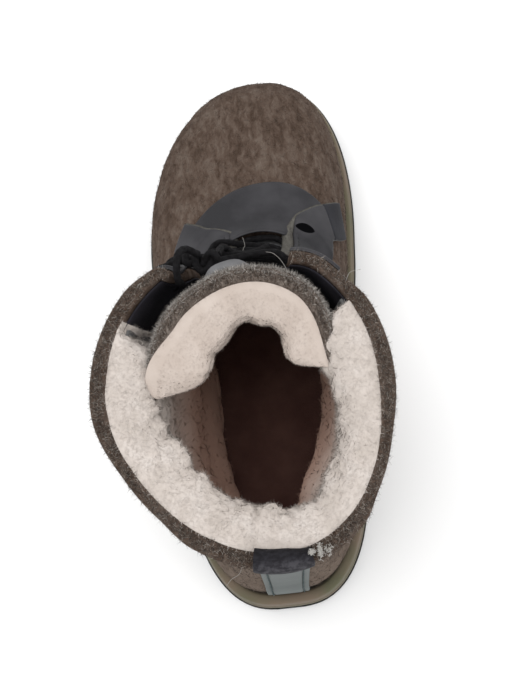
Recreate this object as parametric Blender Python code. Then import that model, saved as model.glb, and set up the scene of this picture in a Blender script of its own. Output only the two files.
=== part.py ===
"""Left felt winter boot: a laced ankle boot of thick felt, lined with fleece, on a moulded sole.

The boot's own frame has +Z up, +Y to the toe and +X to the inner (medial) side of the foot.
Sizes below are in millimetres. Each mesh is scaled to metres as it is made.
"""
import functools
import math

import bmesh
import bpy
import numpy as np
from mathutils import Vector

MM = 0.001

# Driving sizes of the foot and of the materials
HEEL_BACK = -145.0        # back of the sole
TOE_FRONT = 142.0         # front of the sole
HEEL_HEIGHT = 28.0        # footbed above the floor, under the heel
BALL_HEIGHT = 17.0        # footbed above the floor, under the ball
TOE_SPRING = 13.0         # rise of the sole's toe
SPRING_START = 72.0       # where the forefoot leaves the floor
ARCH_RISE = 5.0           # height of the arch under the waist
ARCH_BACK = -80.0         # back and front of the arch
ARCH_FRONT = 10.0
COLLAR_FRONT = 191.0      # top edge of the shaft at the throat
COLLAR_BACK = 188.0       # top edge of the shaft at the heel seam
FELT = 5.0                # wall of the upper and the tongue
LEATHER = 1.6             # eyestays, half-moon and backstay
COVER = 1.2               # thinner leather on the tongue
FACING_ROOM = 1.6         # room under the flaps for their facing
LACE_RADIUS = 1.75
EYELET_RADIUS = 2.6
GAP = 0.3                 # between neighbours
LAP = 0.6                 # under a leather overlay, which spans the felt's curve in wider steps

# Plan sections of the upper's outer face, a row for each height above the floor:
# ends, place of the widest part, half widths to either side, the centre line's x at the widest
# part and at both ends, the powers of the two half ovals, and how far the waist is drawn in.
SECTION_COLUMNS = (
    "height", "back", "front", "widest", "lateral", "medial",
    "base_x", "back_x", "front_x", "back_power", "front_power", "waist",
)
SECTIONS = (
    (14, -133.0, 134.0, 46, 51.5, 50.0, -0.6, -1.0, 11.0, 2.90, 2.35, 0.20),
    (28, -137.0, 136.5, 46, 54.0, 52.5, -0.6, -1.0, 11.0, 2.90, 2.35, 0.18),
    (42, -138.5, 135.0, 42, 53.5, 51.5, -0.5, -1.0, 11.0, 2.85, 2.35, 0.15),
    (56, -137.5, 126.0, 30, 49.5, 47.5, -0.5, -1.0, 10.0, 2.75, 2.25, 0.09),
    (66, -135.5, 107.0, 5, 46.5, 45.0, -0.5, -0.8, 9.0, 2.60, 2.20, 0.03),
    (76, -133.0, 71.0, -30, 45.5, 44.5, -0.5, -0.6, 7.5, 2.45, 2.15, 0.0),
    (88, -130.5, 40.0, -48, 45.5, 44.5, -0.6, -0.4, 5.5, 2.30, 2.05, 0.0),
    (105, -128.0, 24.0, -55, 47.0, 46.0, -1.0, 0.0, 3.0, 2.15, 2.00, 0.0),
    (125, -126.5, 14.0, -57, 50.0, 49.0, -2.0, 0.5, 0.5, 2.05, 2.00, 0.0),
    (150, -126.0, 8.5, -58, 54.0, 52.5, -3.5, 1.5, -2.0, 2.00, 2.00, 0.0),
    (172, -126.0, 6.0, -58, 57.0, 55.5, -5.0, 2.5, -3.5, 1.95, 2.00, 0.0),
    (192, -126.5, 4.5, -58, 59.5, 58.0, -5.5, 3.0, -4.5, 1.95, 2.00, 0.0),
)
SOLE = dict(
    back=HEEL_BACK, front=TOE_FRONT, widest=46.0, lateral=58.2, medial=57.2,
    base_x=-0.6, back_x=-1.0, front_x=11.5, back_power=2.9, front_power=2.4, waist=0.21,
)
WAIST_Y = -28.0
WAIST_SPAN = 52.0
WAIST_LATERAL_SHARE = 0.55
BEND_POWER = 1.5          # how late the centre line bends towards the ends
HEEL_BREAST = -80.0       # the footbed falls from here to the ball
BALL_BACK = 30.0

# The throat: a slot from the instep to the collar, between the two flaps
THROAT_Y = 39.0
THROAT_HALF_LOW = 14.0
THROAT_HALF_HIGH = 25.0
ROWS_BELOW = 10
ROWS_ABOVE = 12
EYELET_CELLS = (-1, 1, 3, 5, 7, 9)
EYELET_INNER = 5.0        # the grid cell that holds an eyelet, from the throat's edge
EYELET_OUTER = 15.0
TAB_REACH = 31.0          # from the throat's edge to the pile and to the eyestay's wide foot
STRAP_WIDTH = 22.0        # eyestay's width along the shaft


def smooth_table(columns, rows, at):
    """Columns of a table at the places given, on a smooth curve that never overshoots its rows."""
    table = np.array(rows, float)
    knots = table[:, 0]
    values = table[:, 1:]
    step = np.diff(knots)[:, None]
    slope = np.diff(values, axis=0) / step
    turn = slope[:-1] * slope[1:]
    total = np.where(turn > 0, slope[:-1] + slope[1:], 1.0)
    tangent = np.vstack((slope[:1], np.where(turn > 0, 2 * turn / total, 0.0), slope[-1:]))
    at = np.clip(np.asarray(at, float), knots[0], knots[-1])
    cell = np.clip(np.searchsorted(knots, at, side="right") - 1, 0, len(knots) - 2)
    width = step[cell]
    t = (at - knots[cell])[..., None] / width
    found = (
        (1 + 2 * t) * (1 - t) ** 2 * values[cell]
        + t * (1 - t) ** 2 * width * tangent[cell]
        + t ** 2 * (3 - 2 * t) * values[cell + 1]
        + t ** 2 * (t - 1) * width * tangent[cell + 1]
    )
    return dict(zip(columns[1:], np.moveaxis(found, -1, 0)))


def smoothstep(low, high, value):
    t = np.clip((value - low) / (high - low), 0.0, 1.0)
    return t * t * (3 - 2 * t)


def plan_curve(section, angle):
    """Plan point at an angle: 0 is the toe, +90 degrees the medial side, 180 the heel."""
    along = np.cos(angle)
    across = np.sin(angle)
    fore = along >= 0
    power = np.where(fore, section["front_power"], section["back_power"])
    reach = np.where(fore, section["front"] - section["widest"], section["widest"] - section["back"])
    share = np.abs(along) ** (2 / power)
    y = section["widest"] + np.sign(along) * reach * share
    inner = across >= 0
    half = np.where(inner, section["medial"], section["lateral"]) * np.abs(across) ** (2 / power)
    pinch = section["waist"] * np.exp(-((y - WAIST_Y) / WAIST_SPAN) ** 2)
    half = half * (1 - pinch * np.where(inner, 1.0, WAIST_LATERAL_SHARE))
    bend = np.where(fore, section["front_x"], section["back_x"]) - section["base_x"]
    x = section["base_x"] + bend * share ** BEND_POWER + np.sign(across) * half
    return x, y


def sole_bottom(y):
    """Underside of the sole: flat heel and forefoot, an arch between them and the toe spring."""
    y = np.asarray(y, float)
    middle = (y - ARCH_BACK) / (ARCH_FRONT - ARCH_BACK)
    arch = np.where((middle > 0) & (middle < 1), ARCH_RISE * np.sin(math.pi * middle) ** 2, 0.0)
    spring = TOE_SPRING * (np.clip(y - SPRING_START, 0, None) / (TOE_FRONT - SPRING_START)) ** 2
    return arch + spring


def footbed(y):
    """Top of the sole, from the raised heel down to the ball and up again with the toe spring."""
    y = np.asarray(y, float)
    spring = TOE_SPRING * (np.clip(y - SPRING_START, 0, None) / (TOE_FRONT - SPRING_START)) ** 2
    return HEEL_HEIGHT + (BALL_HEIGHT - HEEL_HEIGHT) * smoothstep(HEEL_BREAST, BALL_BACK, y) + spring


# The upper's outer face, by level (0 at the sole, 1 at the collar) and length around from the toe

FACE_ANGLES = np.linspace(-math.pi, math.pi, 721)
FACE_FRONT = len(FACE_ANGLES) // 2
FEATHER_HEIGHT = 24.0     # plan section that the lower edge follows
FEATHER_GAP = 0.5         # over the footbed, which dips between the edge's straight steps
FEATHER_SECTION = smooth_table(SECTION_COLUMNS, SECTIONS, np.full(len(FACE_ANGLES), FEATHER_HEIGHT))
FEATHER = footbed(plan_curve(FEATHER_SECTION, FACE_ANGLES)[1]) + FEATHER_GAP
COLLAR = COLLAR_BACK + (COLLAR_FRONT - COLLAR_BACK) * (0.5 + 0.5 * np.cos(FACE_ANGLES))


def front_profile():
    """Heights up the middle of the front, with the share of the profile's length below each."""
    height = np.linspace(FEATHER[FACE_FRONT], COLLAR[FACE_FRONT], 800)
    y = plan_curve(smooth_table(SECTION_COLUMNS, SECTIONS, height), np.zeros(len(height)))[1]
    length = np.concatenate(([0.0], np.cumsum(np.hypot(np.diff(height), np.diff(y)))))
    return length / length[-1], height, y, length[-1]


FRONT_SHARE, FRONT_HEIGHT, FRONT_Y, FRONT_LENGTH = front_profile()
INSTEP = FRONT_Y < SECTIONS[3][2]    # the stretch above the toe, where the profile only runs back
THROAT_LEVEL = float(np.interp(-THROAT_Y, -FRONT_Y[INSTEP], FRONT_SHARE[INSTEP]))


@functools.lru_cache(maxsize=None)
def level_curve(level):
    """Closed curve round the upper at one level, with lengths measured from the toe's middle."""
    lean = 0.5 + 0.5 * np.cos(FACE_ANGLES)
    low = FEATHER[FACE_FRONT]
    front = (np.interp(level, FRONT_SHARE, FRONT_HEIGHT) - low) / (COLLAR[FACE_FRONT] - low)
    height = FEATHER + (COLLAR - FEATHER) * ((1 - lean) * level + lean * front)
    x, y = plan_curve(smooth_table(SECTION_COLUMNS, SECTIONS, height), FACE_ANGLES)
    points = np.stack((x, y, height), axis=1)
    length = np.concatenate(([0.0], np.cumsum(np.linalg.norm(np.diff(points, axis=0), axis=1))))
    return points, length - length[FACE_FRONT]


def half_round(level, side):
    """Length from the toe's middle to the heel seam, on the medial (1) or lateral (-1) side."""
    length = level_curve(level)[1]
    return length[-1] if side > 0 else -length[0]


def face_point(level, around):
    points, length = level_curve(level)
    whole = length[-1] - length[0]
    return np.array([np.interp(around, length, points[:, i], period=whole) for i in range(3)])


def on_upper(level, around, lift):
    """Point at a distance outside (or, below 0, inside) the upper's outer face."""
    level = min(max(level, 0.0), 1.0)
    nudge = 0.004
    rise = face_point(min(level + nudge, 1.0), around) - face_point(max(level - nudge, 0.0), around)
    run = face_point(level, around + 1.0) - face_point(level, around - 1.0)
    normal = np.cross(rise, run)
    return face_point(level, around) + normal * (lift / np.linalg.norm(normal))


def throat_half(level):
    share = (level - THROAT_LEVEL) / (1 - THROAT_LEVEL)
    return THROAT_HALF_LOW + (THROAT_HALF_HIGH - THROAT_HALF_LOW) * min(max(share, 0.0), 1.0)


# Columns of the walls round the foot, from the throat's edge, and inside the throat's width
FIXED_COLUMNS = (0.0, EYELET_INNER, EYELET_OUTER, STRAP_WIDTH, TAB_REACH)
FAR_COLUMNS = 11
BUNCH = 0.4               # how much closer the columns stand at the toe and the heel
FAR_SHARES = [k / FAR_COLUMNS - BUNCH * math.sin(2 * math.pi * k / FAR_COLUMNS) / (2 * math.pi)
              for k in range(1, FAR_COLUMNS + 1)]
MIDDLE_SHARES = (-0.5, 0.0, 0.5)

# Stations along the sole's plates, and the flat cut across their very ends
STATIONS = 34
END_CUT = 0.15
CROWDING = 0.35           # how much closer the stations stand at toe and heel


# Materials and mesh makers

def material(name, colour, roughness):
    made = bpy.data.materials.new(name)
    made.use_nodes = True
    shader = made.node_tree.nodes["Principled BSDF"]
    shader.inputs["Base Color"].default_value = (*colour, 1.0)
    shader.inputs["Roughness"].default_value = roughness
    shader.inputs["Metallic"].default_value = 0.0
    return made


def add_solid(name, points, faces, finish):
    """Closed mesh object from points in millimetres, its faces turned outward."""
    mesh = bpy.data.meshes.new(name)
    mesh.from_pydata([tuple(np.asarray(p) * MM) for p in points], [], faces)
    work = bmesh.new()
    work.from_mesh(mesh)
    bmesh.ops.remove_doubles(work, verts=work.verts, dist=1e-6)
    bmesh.ops.triangulate(work, faces=work.faces)
    bmesh.ops.recalc_face_normals(work, faces=work.faces)
    work.to_mesh(mesh)
    work.free()
    mesh.materials.append(finish)
    mesh.shade_smooth()
    made = bpy.data.objects.new(name, mesh)
    bpy.context.scene.collection.objects.link(made)
    made.parent = BOOT
    return made


def hole_faces(points, corners, share):
    """Ring of faces round an eight-sided hole in the cell with the corners given, in order."""
    a, b, c, d = (np.asarray(points[i]) for i in corners)
    first = len(points)
    for step in range(8):
        turn = math.radians(-157.5 + 45 * step)
        u = 0.5 + share * math.cos(turn)
        v = 0.5 + share * math.sin(turn)
        points.append(a * (1 - u) * (1 - v) + b * u * (1 - v) + c * u * v + d * (1 - u) * v)
    ring = list(range(first, first + 8))
    faces = []
    for index in range(4):
        corner = corners[index]
        after = corners[(index + 1) % 4]
        faces.append((corner, ring[2 * index + 1], ring[2 * index]))
        faces.append((corner, after, ring[(2 * index + 2) % 8], ring[2 * index + 1]))
    return faces, ring


def join_rings(faces, one, other):
    """Wall between two rings or two open lines of points."""
    for index in range(len(one) - 1):
        faces.append((one[index], one[index + 1], other[index + 1], other[index]))


def slab(name, outer, inner, finish, holes=(), share=0.0):
    """Sheet between two grids of points, with holes in the cells given as (row, column)."""
    rows, columns = len(outer), len(outer[0])
    points = [p for grid in (outer, inner) for row in grid for p in row]
    faces = []

    def at(layer, row, column):
        return (layer * rows + row) * columns + column

    rings = {}
    for layer in (0, 1):
        for row in range(rows - 1):
            for column in range(columns - 1):
                cell = (at(layer, row, column), at(layer, row, column + 1),
                        at(layer, row + 1, column + 1), at(layer, row + 1, column))
                if (row, column) in holes:
                    around, ring = hole_faces(points, cell, share)
                    faces += around
                    rings.setdefault((row, column), []).append(ring + ring[:1])
                else:
                    faces.append(cell)
    for pair in rings.values():
        join_rings(faces, *pair)
    for row in (0, rows - 1):
        join_rings(faces, *([at(k, row, c) for c in range(columns)] for k in (0, 1)))
    for column in (0, columns - 1):
        join_rings(faces, *([at(k, r, column) for r in range(rows)] for k in (0, 1)))
    return add_solid(name, points, faces, finish)


def shell(name, levels, slot_row, slot, lifts, finish, holes=(), share=0.0):
    """Wall round the foot: closed rows up to slot_row, and rows open at the front above it.

    The columns stand at fixed lengths from the throat's edge and then in shares of the way round.
    slot is how many of the fixed columns lie inside the wall's own opening.
    lifts gives the two faces' distance from the upper's outer face at a level and a place.
    """
    side_count = len(FIXED_COLUMNS) - slot + len(FAR_SHARES)
    points = []
    rows = ([], [])
    for index, level in enumerate(levels):
        half = throat_half(level)
        near = [half + offset for offset in FIXED_COLUMNS]
        places = []
        for side in (1, -1):
            start = near[-1]
            rest = half_round(level, side) - start
            line = near[slot:] + [start + rest * share for share in FAR_SHARES]
            places += line if side > 0 else [-place for place in line[-2::-1]]
        if index <= slot_row:
            inside = [half * share for share in MIDDLE_SHARES]
            places += [-place for place in near[:slot][::-1]] + inside + near[:slot]
        for layer in (0, 1):
            row = []
            for place in places:
                row.append(len(points))
                points.append(on_upper(level, place, lifts(level, place)[layer]))
            rows[layer].append(row)
    open_count = 2 * side_count - 1
    faces = []
    rings = {}
    for layer in (0, 1):
        for index in range(len(levels) - 1):
            low, high = rows[layer][index], rows[layer][index + 1]
            for column in range(open_count - 1):
                cell = (low[column], low[column + 1], high[column + 1], high[column])
                if (index - slot_row, column) in holes:
                    around, ring = hole_faces(points, cell, share)
                    faces += around
                    rings.setdefault((index, column), []).append(ring + ring[:1])
                else:
                    faces.append(cell)
            if index < slot_row:
                join_rings(faces, low[open_count - 1:] + low[:1], high[open_count - 1:] + high[:1])
    for pair in rings.values():
        join_rings(faces, *pair)
    join_rings(faces, *(rows[k][0] + rows[k][0][:1] for k in (0, 1)))
    join_rings(faces, *(rows[k][-1] for k in (0, 1)))
    join_rings(faces, *(rows[k][slot_row][open_count - 1:] + rows[k][slot_row][:1] for k in (0, 1)))
    for column in (0, open_count - 1):
        join_rings(faces, *([row[column] for row in rows[k][slot_row:]] for k in (0, 1)))
    return add_solid(name, points, faces, finish)


def plate(name, outlines, heights, finish):
    """Solid through plan outlines from top to bottom, cut across at stations from toe to heel.

    heights gives, for each outline, its height at the stations' places along the sole.
    """
    points = []
    for outline, height in zip(outlines, heights):
        toe = int(np.argmax(outline[:, 1]))
        loop = np.roll(outline, -toe, axis=0)
        heel = int(np.argmin(loop[:, 1]))
        back, front = loop[heel, 1] + END_CUT, loop[0, 1] - END_CUT
        even = np.linspace(1, 0, STATIONS)
        share = even + CROWDING * (0.5 - 0.5 * np.cos(math.pi * even) - even)
        y = back + (front - back) * share
        one = np.interp(y, loop[heel::-1, 1], loop[heel::-1, 0])
        other = np.interp(y, loop[heel:, 1], loop[heel:, 0])
        points += list(zip(one, y, height(y))) + list(zip(other, y, height(y)))[::-1]
    count = 2 * STATIONS
    faces = []
    for index in range(len(outlines) - 1):
        low, high = ([k * count + c for c in range(count)] for k in (index, index + 1))
        join_rings(faces, low + low[:1], high + high[:1])
    for first in (0, (len(outlines) - 1) * count):
        line = [first + k for k in range(STATIONS)]
        join_rings(faces, line, [first + count - 1 - k for k in range(STATIONS)])
    return add_solid(name, points, faces, finish)


def smooth_path(knots, per_span):
    """Points along a smooth curve through the knots."""
    knots = [np.asarray(k, float) for k in knots]
    ends = [2 * knots[0] - knots[1]] + knots + [2 * knots[-1] - knots[-2]]
    path = []
    for a, b, c, d in zip(ends, ends[1:], ends[2:], ends[3:]):
        for step in range(per_span):
            t = step / per_span
            path.append(0.5 * (2 * b + (c - a) * t + (2 * a - 5 * b + 4 * c - d) * t ** 2
                               + (3 * b - a - 3 * c + d) * t ** 3))
    return path + [knots[-1]]


def tube(name, path, radius, finish, sides=6):
    """Round bar along a path, with flat ends."""
    points = []
    faces = []
    for index, centre in enumerate(path):
        along = path[min(index + 1, len(path) - 1)] - path[max(index - 1, 0)]
        steep = abs(along[2]) > 0.9 * np.linalg.norm(along)
        across = np.cross(along, (0.0, 1.0, 0.0) if steep else (0.0, 0.0, 1.0))
        across /= np.linalg.norm(across)
        other = np.cross(along / np.linalg.norm(along), across)
        for step in range(sides):
            turn = 2 * math.pi * (step + 0.5) / sides
            points.append(centre + radius * (across * math.cos(turn) + other * math.sin(turn)))
    for index in range(len(path) - 1):
        low, high = ([k * sides + c for c in range(sides)] for k in (index, index + 1))
        join_rings(faces, low + low[:1], high + high[:1])
    faces.append(tuple(range(sides)))
    faces.append(tuple(range(len(points) - sides, len(points))))
    return add_solid(name, points, faces, finish)


def cord(name, path, radius, finish):
    """Free stretch of lace: a curve with a round bevel and closed ends."""
    curve = bpy.data.curves.new(name, "CURVE")
    curve.dimensions = "3D"
    curve.bevel_depth = radius * MM
    curve.bevel_resolution = 2
    curve.use_fill_caps = True
    line = curve.splines.new("POLY")
    line.points.add(len(path) - 1)
    for point, place in zip(line.points, path):
        point.co = (*(place * MM), 1.0)
    curve.materials.append(finish)
    made = bpy.data.objects.new(name, curve)
    bpy.context.scene.collection.objects.link(made)
    made.parent = BOOT
    return made


# Start from an empty scene, with one empty that carries every piece

for old in list(bpy.data.objects):
    bpy.data.objects.remove(old, do_unlink=True)
BOOT = bpy.data.objects.new("boot", None)
bpy.context.scene.collection.objects.link(BOOT)

RUBBER = material("outsole_rubber", (0.018, 0.018, 0.016), 0.65)
FOAM = material("midsole_foam", (0.165, 0.125, 0.085), 0.7)
INSOLE_FELT = material("insole_felt", (0.022, 0.011, 0.009), 0.95)
UPPER_FELT = material("upper_felt", (0.115, 0.09, 0.072), 0.95)
PILE = material("fleece_pile", (0.62, 0.57, 0.52), 0.95)
GREY_LEATHER = material("grey_leather", (0.055, 0.057, 0.06), 0.45)
BACK_LEATHER = material("back_leather", (0.14, 0.165, 0.165), 0.5)
WEBBING = material("black_webbing", (0.015, 0.015, 0.016), 0.8)
LACE = material("black_lace", (0.012, 0.012, 0.013), 0.75)

# Outsole: a base with transverse lugs under heel and forefoot, bent to a shallow chevron

OUTSOLE_BASE = 4.5
LUG_DEPTH = 3.5
LUG_ROWS = (              # start, length of a lug, length of a groove, count
    (-141.0, 11.0, 5.0, 5),
    (6.0, 10.0, 5.0, 9),
)
CHEVRON = 5.0
ACROSS = (0.0, 0.25, 0.5, 0.75, 1.0)
END_STEPS = (0.4, 1.6)    # stations close to the very ends, where the outline turns
END_EASE = 12.0           # the chevron fades out over this length at both ends
WAIST_STATIONS = 8


def sole_edges():
    """Lateral and medial edge of the sole's plan, as lines from heel to toe."""
    turn = np.linspace(0, math.pi, 400)
    medial = np.stack(plan_curve(SOLE, turn), axis=1)[::-1]
    lateral = np.stack(plan_curve(SOLE, -turn), axis=1)[::-1]
    return lateral, medial


LATERAL_EDGE, MEDIAL_EDGE = sole_edges()


def sole_across(y, share):
    """Place across the sole at a station y, from the lateral edge (0) to the medial edge (1)."""
    low = np.interp(y, LATERAL_EDGE[:, 1], LATERAL_EDGE[:, 0])
    high = np.interp(y, MEDIAL_EDGE[:, 1], MEDIAL_EDGE[:, 0])
    return low + (high - low) * share


def tread_stations():
    """Stations along the sole with the depth of the tread before and after each."""
    stations = [(HEEL_BACK + step, 0.0) for step in END_STEPS]
    for start, lug, groove, count in LUG_ROWS:
        if start > 0:
            waist = np.linspace(stations[-1][0], start, WAIST_STATIONS + 1)[1:]
            stations += [(float(y), LUG_DEPTH) for y in waist]
        for index in range(count):
            front = start + index * (lug + groove)
            stations += [(front, 0.0), (front + lug, 0.0)]
            stations += [(front + lug, LUG_DEPTH)]
            if index < count - 1:
                stations += [(front + lug + groove, LUG_DEPTH)]
    return stations + [(TOE_FRONT - step, LUG_DEPTH) for step in END_STEPS[::-1]]


def make_outsole():
    under = []
    over = []
    for station, depth in tread_stations():
        low_row = []
        high_row = []
        for share in ACROSS:
            ease = min(1.0, (station - HEEL_BACK) / END_EASE, (TOE_FRONT - station) / END_EASE)
            y = station + CHEVRON * ease * (1 - abs(2 * share - 1))
            low_row.append((sole_across(y, share), y, float(sole_bottom(y)) + depth))
            top = float(sole_bottom(station)) + LUG_DEPTH + OUTSOLE_BASE
            high_row.append((sole_across(station, share), station, top))
        under.append(low_row)
        over.append(high_row)
    return slab("outsole", over, under, RUBBER)


make_outsole()

# Midsole: a flared foam block from the outsole up to the footbed, with a groove round its side

SIDE = (                  # share of the way down, inset
    (0.0, 3.6), (0.14, 2.6), (0.42, 1.7), (0.48, 2.7),
    (0.58, 2.7), (0.64, 1.3), (1.0, 0.8),
)


def sole_outline(inset):
    """Closed plan curve of the sole, drawn in by an inset along its own normals."""
    nudge = 0.01
    along = np.stack(plan_curve(SOLE, FACE_ANGLES + nudge), axis=1)
    along -= np.stack(plan_curve(SOLE, FACE_ANGLES - nudge), axis=1)
    along /= np.linalg.norm(along, axis=1)[:, None]
    inward = np.stack((along[:, 1], -along[:, 0]), axis=1)
    return (np.stack(plan_curve(SOLE, FACE_ANGLES), axis=1) + inset * inward)[:-1]


def make_midsole():
    def height_at(share_down):
        def height(y):
            bottom = sole_bottom(y) + LUG_DEPTH + OUTSOLE_BASE + GAP
            return footbed(y) + (bottom - footbed(y)) * share_down
        return height

    outlines = [sole_outline(inset) for _, inset in SIDE]
    return plate("midsole", outlines, [height_at(share) for share, _ in SIDE], FOAM)


make_midsole()

# Insole: a felt sheet laid on the footbed inside the upper's wall

INSOLE = 3.5
INSOLE_LEVEL = 0.01
INSOLE_EASE = 1.8         # from its edge to the upper's wall


def make_insole():
    places = np.linspace(-half_round(INSOLE_LEVEL, -1), half_round(INSOLE_LEVEL, 1), 240, endpoint=False)
    outline = np.array([on_upper(INSOLE_LEVEL, place, -FELT - INSOLE_EASE)[:2] for place in places])
    heights = [lambda y: footbed(y) + GAP + INSOLE, lambda y: footbed(y) + GAP]
    return plate("insole", [outline, outline], heights, INSOLE_FELT)


make_insole()

# Upper: one hollow felt wall, open underneath, at the collar and at the throat

UPPER_LEVELS = [THROAT_LEVEL * k / ROWS_BELOW for k in range(ROWS_BELOW)]
UPPER_LEVELS += [THROAT_LEVEL + (1 - THROAT_LEVEL) * k / ROWS_ABOVE for k in range(ROWS_ABOVE + 1)]
EYELET_SHARE = EYELET_RADIUS / (EYELET_OUTER - EYELET_INNER)
LAST_CELL = 2 * (len(FIXED_COLUMNS) + FAR_COLUMNS) - 3


def make_upper():
    holes = [(row, column) for row in EYELET_CELLS for column in (1, LAST_CELL - 1)]
    return shell("upper", UPPER_LEVELS, ROWS_BELOW, 0, lambda level, around: (0.0, -FELT),
                 UPPER_FELT, holes, EYELET_SHARE)


make_upper()

# Fleece lining: deep pile round the foot and shaft, in soft tufts, behind the flaps' facings

LINING_SLOT_ROW = ROWS_BELOW - 2
LINING_SLOT = UPPER_LEVELS[LINING_SLOT_ROW]
LINING_TOP = 0.985
PILE_GAP = 0.8            # behind the pile, where it is glued in soft
PILE_COLUMNS = ("level", "depth")
PILE_DEPTH = ((0.0, 8.0), (0.25, 9.0), (0.5, 12.0), (0.8, 13.0), (1.0, 12.5))
PILE_EDGE = 0.4           # share of the depth left at the front edges
PILE_EDGE_RUN = 14.0      # length over which the pile grows from them
TUFT = 1.1                # height of the soft tufts
TUFT_LENGTH = 6.5
TUFT_DRIFT = 19.0
TUFT_ROWS = 41.0


def pile_depth(level, around):
    """Depth of the pile: thin at its front edges, full behind them, and tufted all over."""
    full = float(smooth_table(PILE_COLUMNS, PILE_DEPTH, level)["depth"])
    edge = 1.0
    if level >= LINING_SLOT:
        behind = abs(around) - throat_half(level) - TAB_REACH
        edge = PILE_EDGE + (1 - PILE_EDGE) * float(smoothstep(0.0, PILE_EDGE_RUN, behind))
    wave = math.sin(around / TUFT_LENGTH + 2.0 * math.sin(level * TUFT_ROWS / 2))
    return edge * (full + TUFT * wave * math.cos(level * TUFT_ROWS + around / TUFT_DRIFT))


def make_lining():
    levels = UPPER_LEVELS[1:ROWS_BELOW] + UPPER_LEVELS[ROWS_BELOW:-1:2] + [LINING_TOP]
    bed = -FELT - PILE_GAP
    return shell("fleece_lining", levels, LINING_SLOT_ROW - 1, len(FIXED_COLUMNS) - 1,
                 lambda level, around: (bed, bed - pile_depth(level, around)), PILE)


make_lining()

# Tongue: a felt sheet behind the throat, with pile inside and a thin leather face outside

TONGUE_LOW = THROAT_LEVEL - 0.05
TONGUE_COLUMNS = ("level", "half", "fore", "curl", "shift")
TONGUE_TABLE = (
    (TONGUE_LOW, 22.0, 0.0, 0.0, 0.0),
    (THROAT_LEVEL + 0.08, 31.0, 0.3, 0.5, 0.0),
    (THROAT_LEVEL + 0.25, 44.0, 2.0, 4.0, 0.5),
    (0.9, 74.0, 3.6, 9.0, 2.0),
    (1.0, 86.0, 4.4, 8.6, 3.0),
)
TONGUE_TOP_DROP = 0.035   # how far the top corners are rounded down
TONGUE_BED = FELT + FACING_ROOM + COVER + LAP
TONGUE_CURL = (0.4, 0.9)  # shares across, between which the sides curl in from the flaps


def tongue_place(up, across, sink):
    """Point of the tongue: up from its foot (0) to its top (1), across from -1 to 1."""
    top = 1.0 - TONGUE_TOP_DROP * abs(across) ** 4
    level = TONGUE_LOW + (top - TONGUE_LOW) * up
    size = smooth_table(TONGUE_COLUMNS, TONGUE_TABLE, level)
    curl = float(size["curl"]) * float(smoothstep(*TONGUE_CURL, abs(across)))
    depth = TONGUE_BED + float(size["fore"]) + curl
    return on_upper(level, across * float(size["half"]) + float(size["shift"]), -depth - sink)


def tongue_sheet(name, last_row, margin, sinks, finish, tuft=0.0):
    """One layer of the tongue, up to a row of its grid and a margin of columns in from its sides."""
    grids = []
    for layer, sink in enumerate(sinks):
        grid = []
        for row in range(last_row + 1):
            line = []
            for column in range(margin, TONGUE_GRID[1] + 1 - margin):
                across = 2 * column / TONGUE_GRID[1] - 1
                wave = tuft * math.sin(5.1 * row + 0.6 * column) * math.cos(2.3 * column) if layer else 0.0
                line.append(tongue_place(row / TONGUE_GRID[0], across, sink + wave))
            grid.append(line)
        grids.append(grid)
    return slab(name, grids[0], grids[1], finish)


TONGUE_GRID = (11, 8)
TONGUE_PILE = 7.5
TONGUE_TUFT = 0.8
COVER_ROWS = 9
tongue_sheet("tongue", TONGUE_GRID[0], 0, (0.0, FELT), UPPER_FELT)
tongue_sheet("tongue_fleece", TONGUE_GRID[0], 0, (FELT + LAP, FELT + LAP + TONGUE_PILE), PILE, TONGUE_TUFT)
tongue_sheet("tongue_cover", COVER_ROWS, 1, (-LAP - COVER, -LAP), GREY_LEATHER)

# Eyestays: leather straps down both flaps, each sweeping out into a tab lapped onto the vamp

EYESTAY_TOP = 0.988
STAY_EDGE = 0.4           # from the flap's edge to the leather's
TAB_THICK = 3.0           # leather over felt along the tab's front edge
TAB_LAP = 2.0             # the tab rides higher on the vamp's round side
TAB_ROUND = 0.6           # how full the tab's front edge is
TAB_TIP = {1: 53.0, -1: 46.0}      # length round from the toe's middle to the tab's front corner
TAB_DROP = {1: 0.197, -1: 0.140}   # level from the throat down to that corner
FOOT_ROWS = {             # inner and outer edge: level below the throat's foot, then length past its edge
    1: ((0.197, 0.182, 39.0, 53.0), (0.142, 0.115, 22.0, 47.0), (0.053, 0.053, 4.2, 34.5)),
    -1: ((0.140, 0.127, 32.0, 45.0), (0.082, 0.075, 16.0, 41.0), (0.045, 0.061, 4.2, 36.0)),
}
THROAT_WIDTHS = (29.0, 25.0)       # width of the leather at the throat's foot and just above it


def tab_edge(around):
    """Level of the tab's front edge at a length round from the toe's middle."""
    side = 1 if around >= 0 else -1
    share = (abs(around) - THROAT_HALF_LOW) / (TAB_TIP[side] - THROAT_HALF_LOW)
    return THROAT_LEVEL - TAB_DROP[side] * min(max(share, 0.0), 1.0) ** TAB_ROUND


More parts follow.
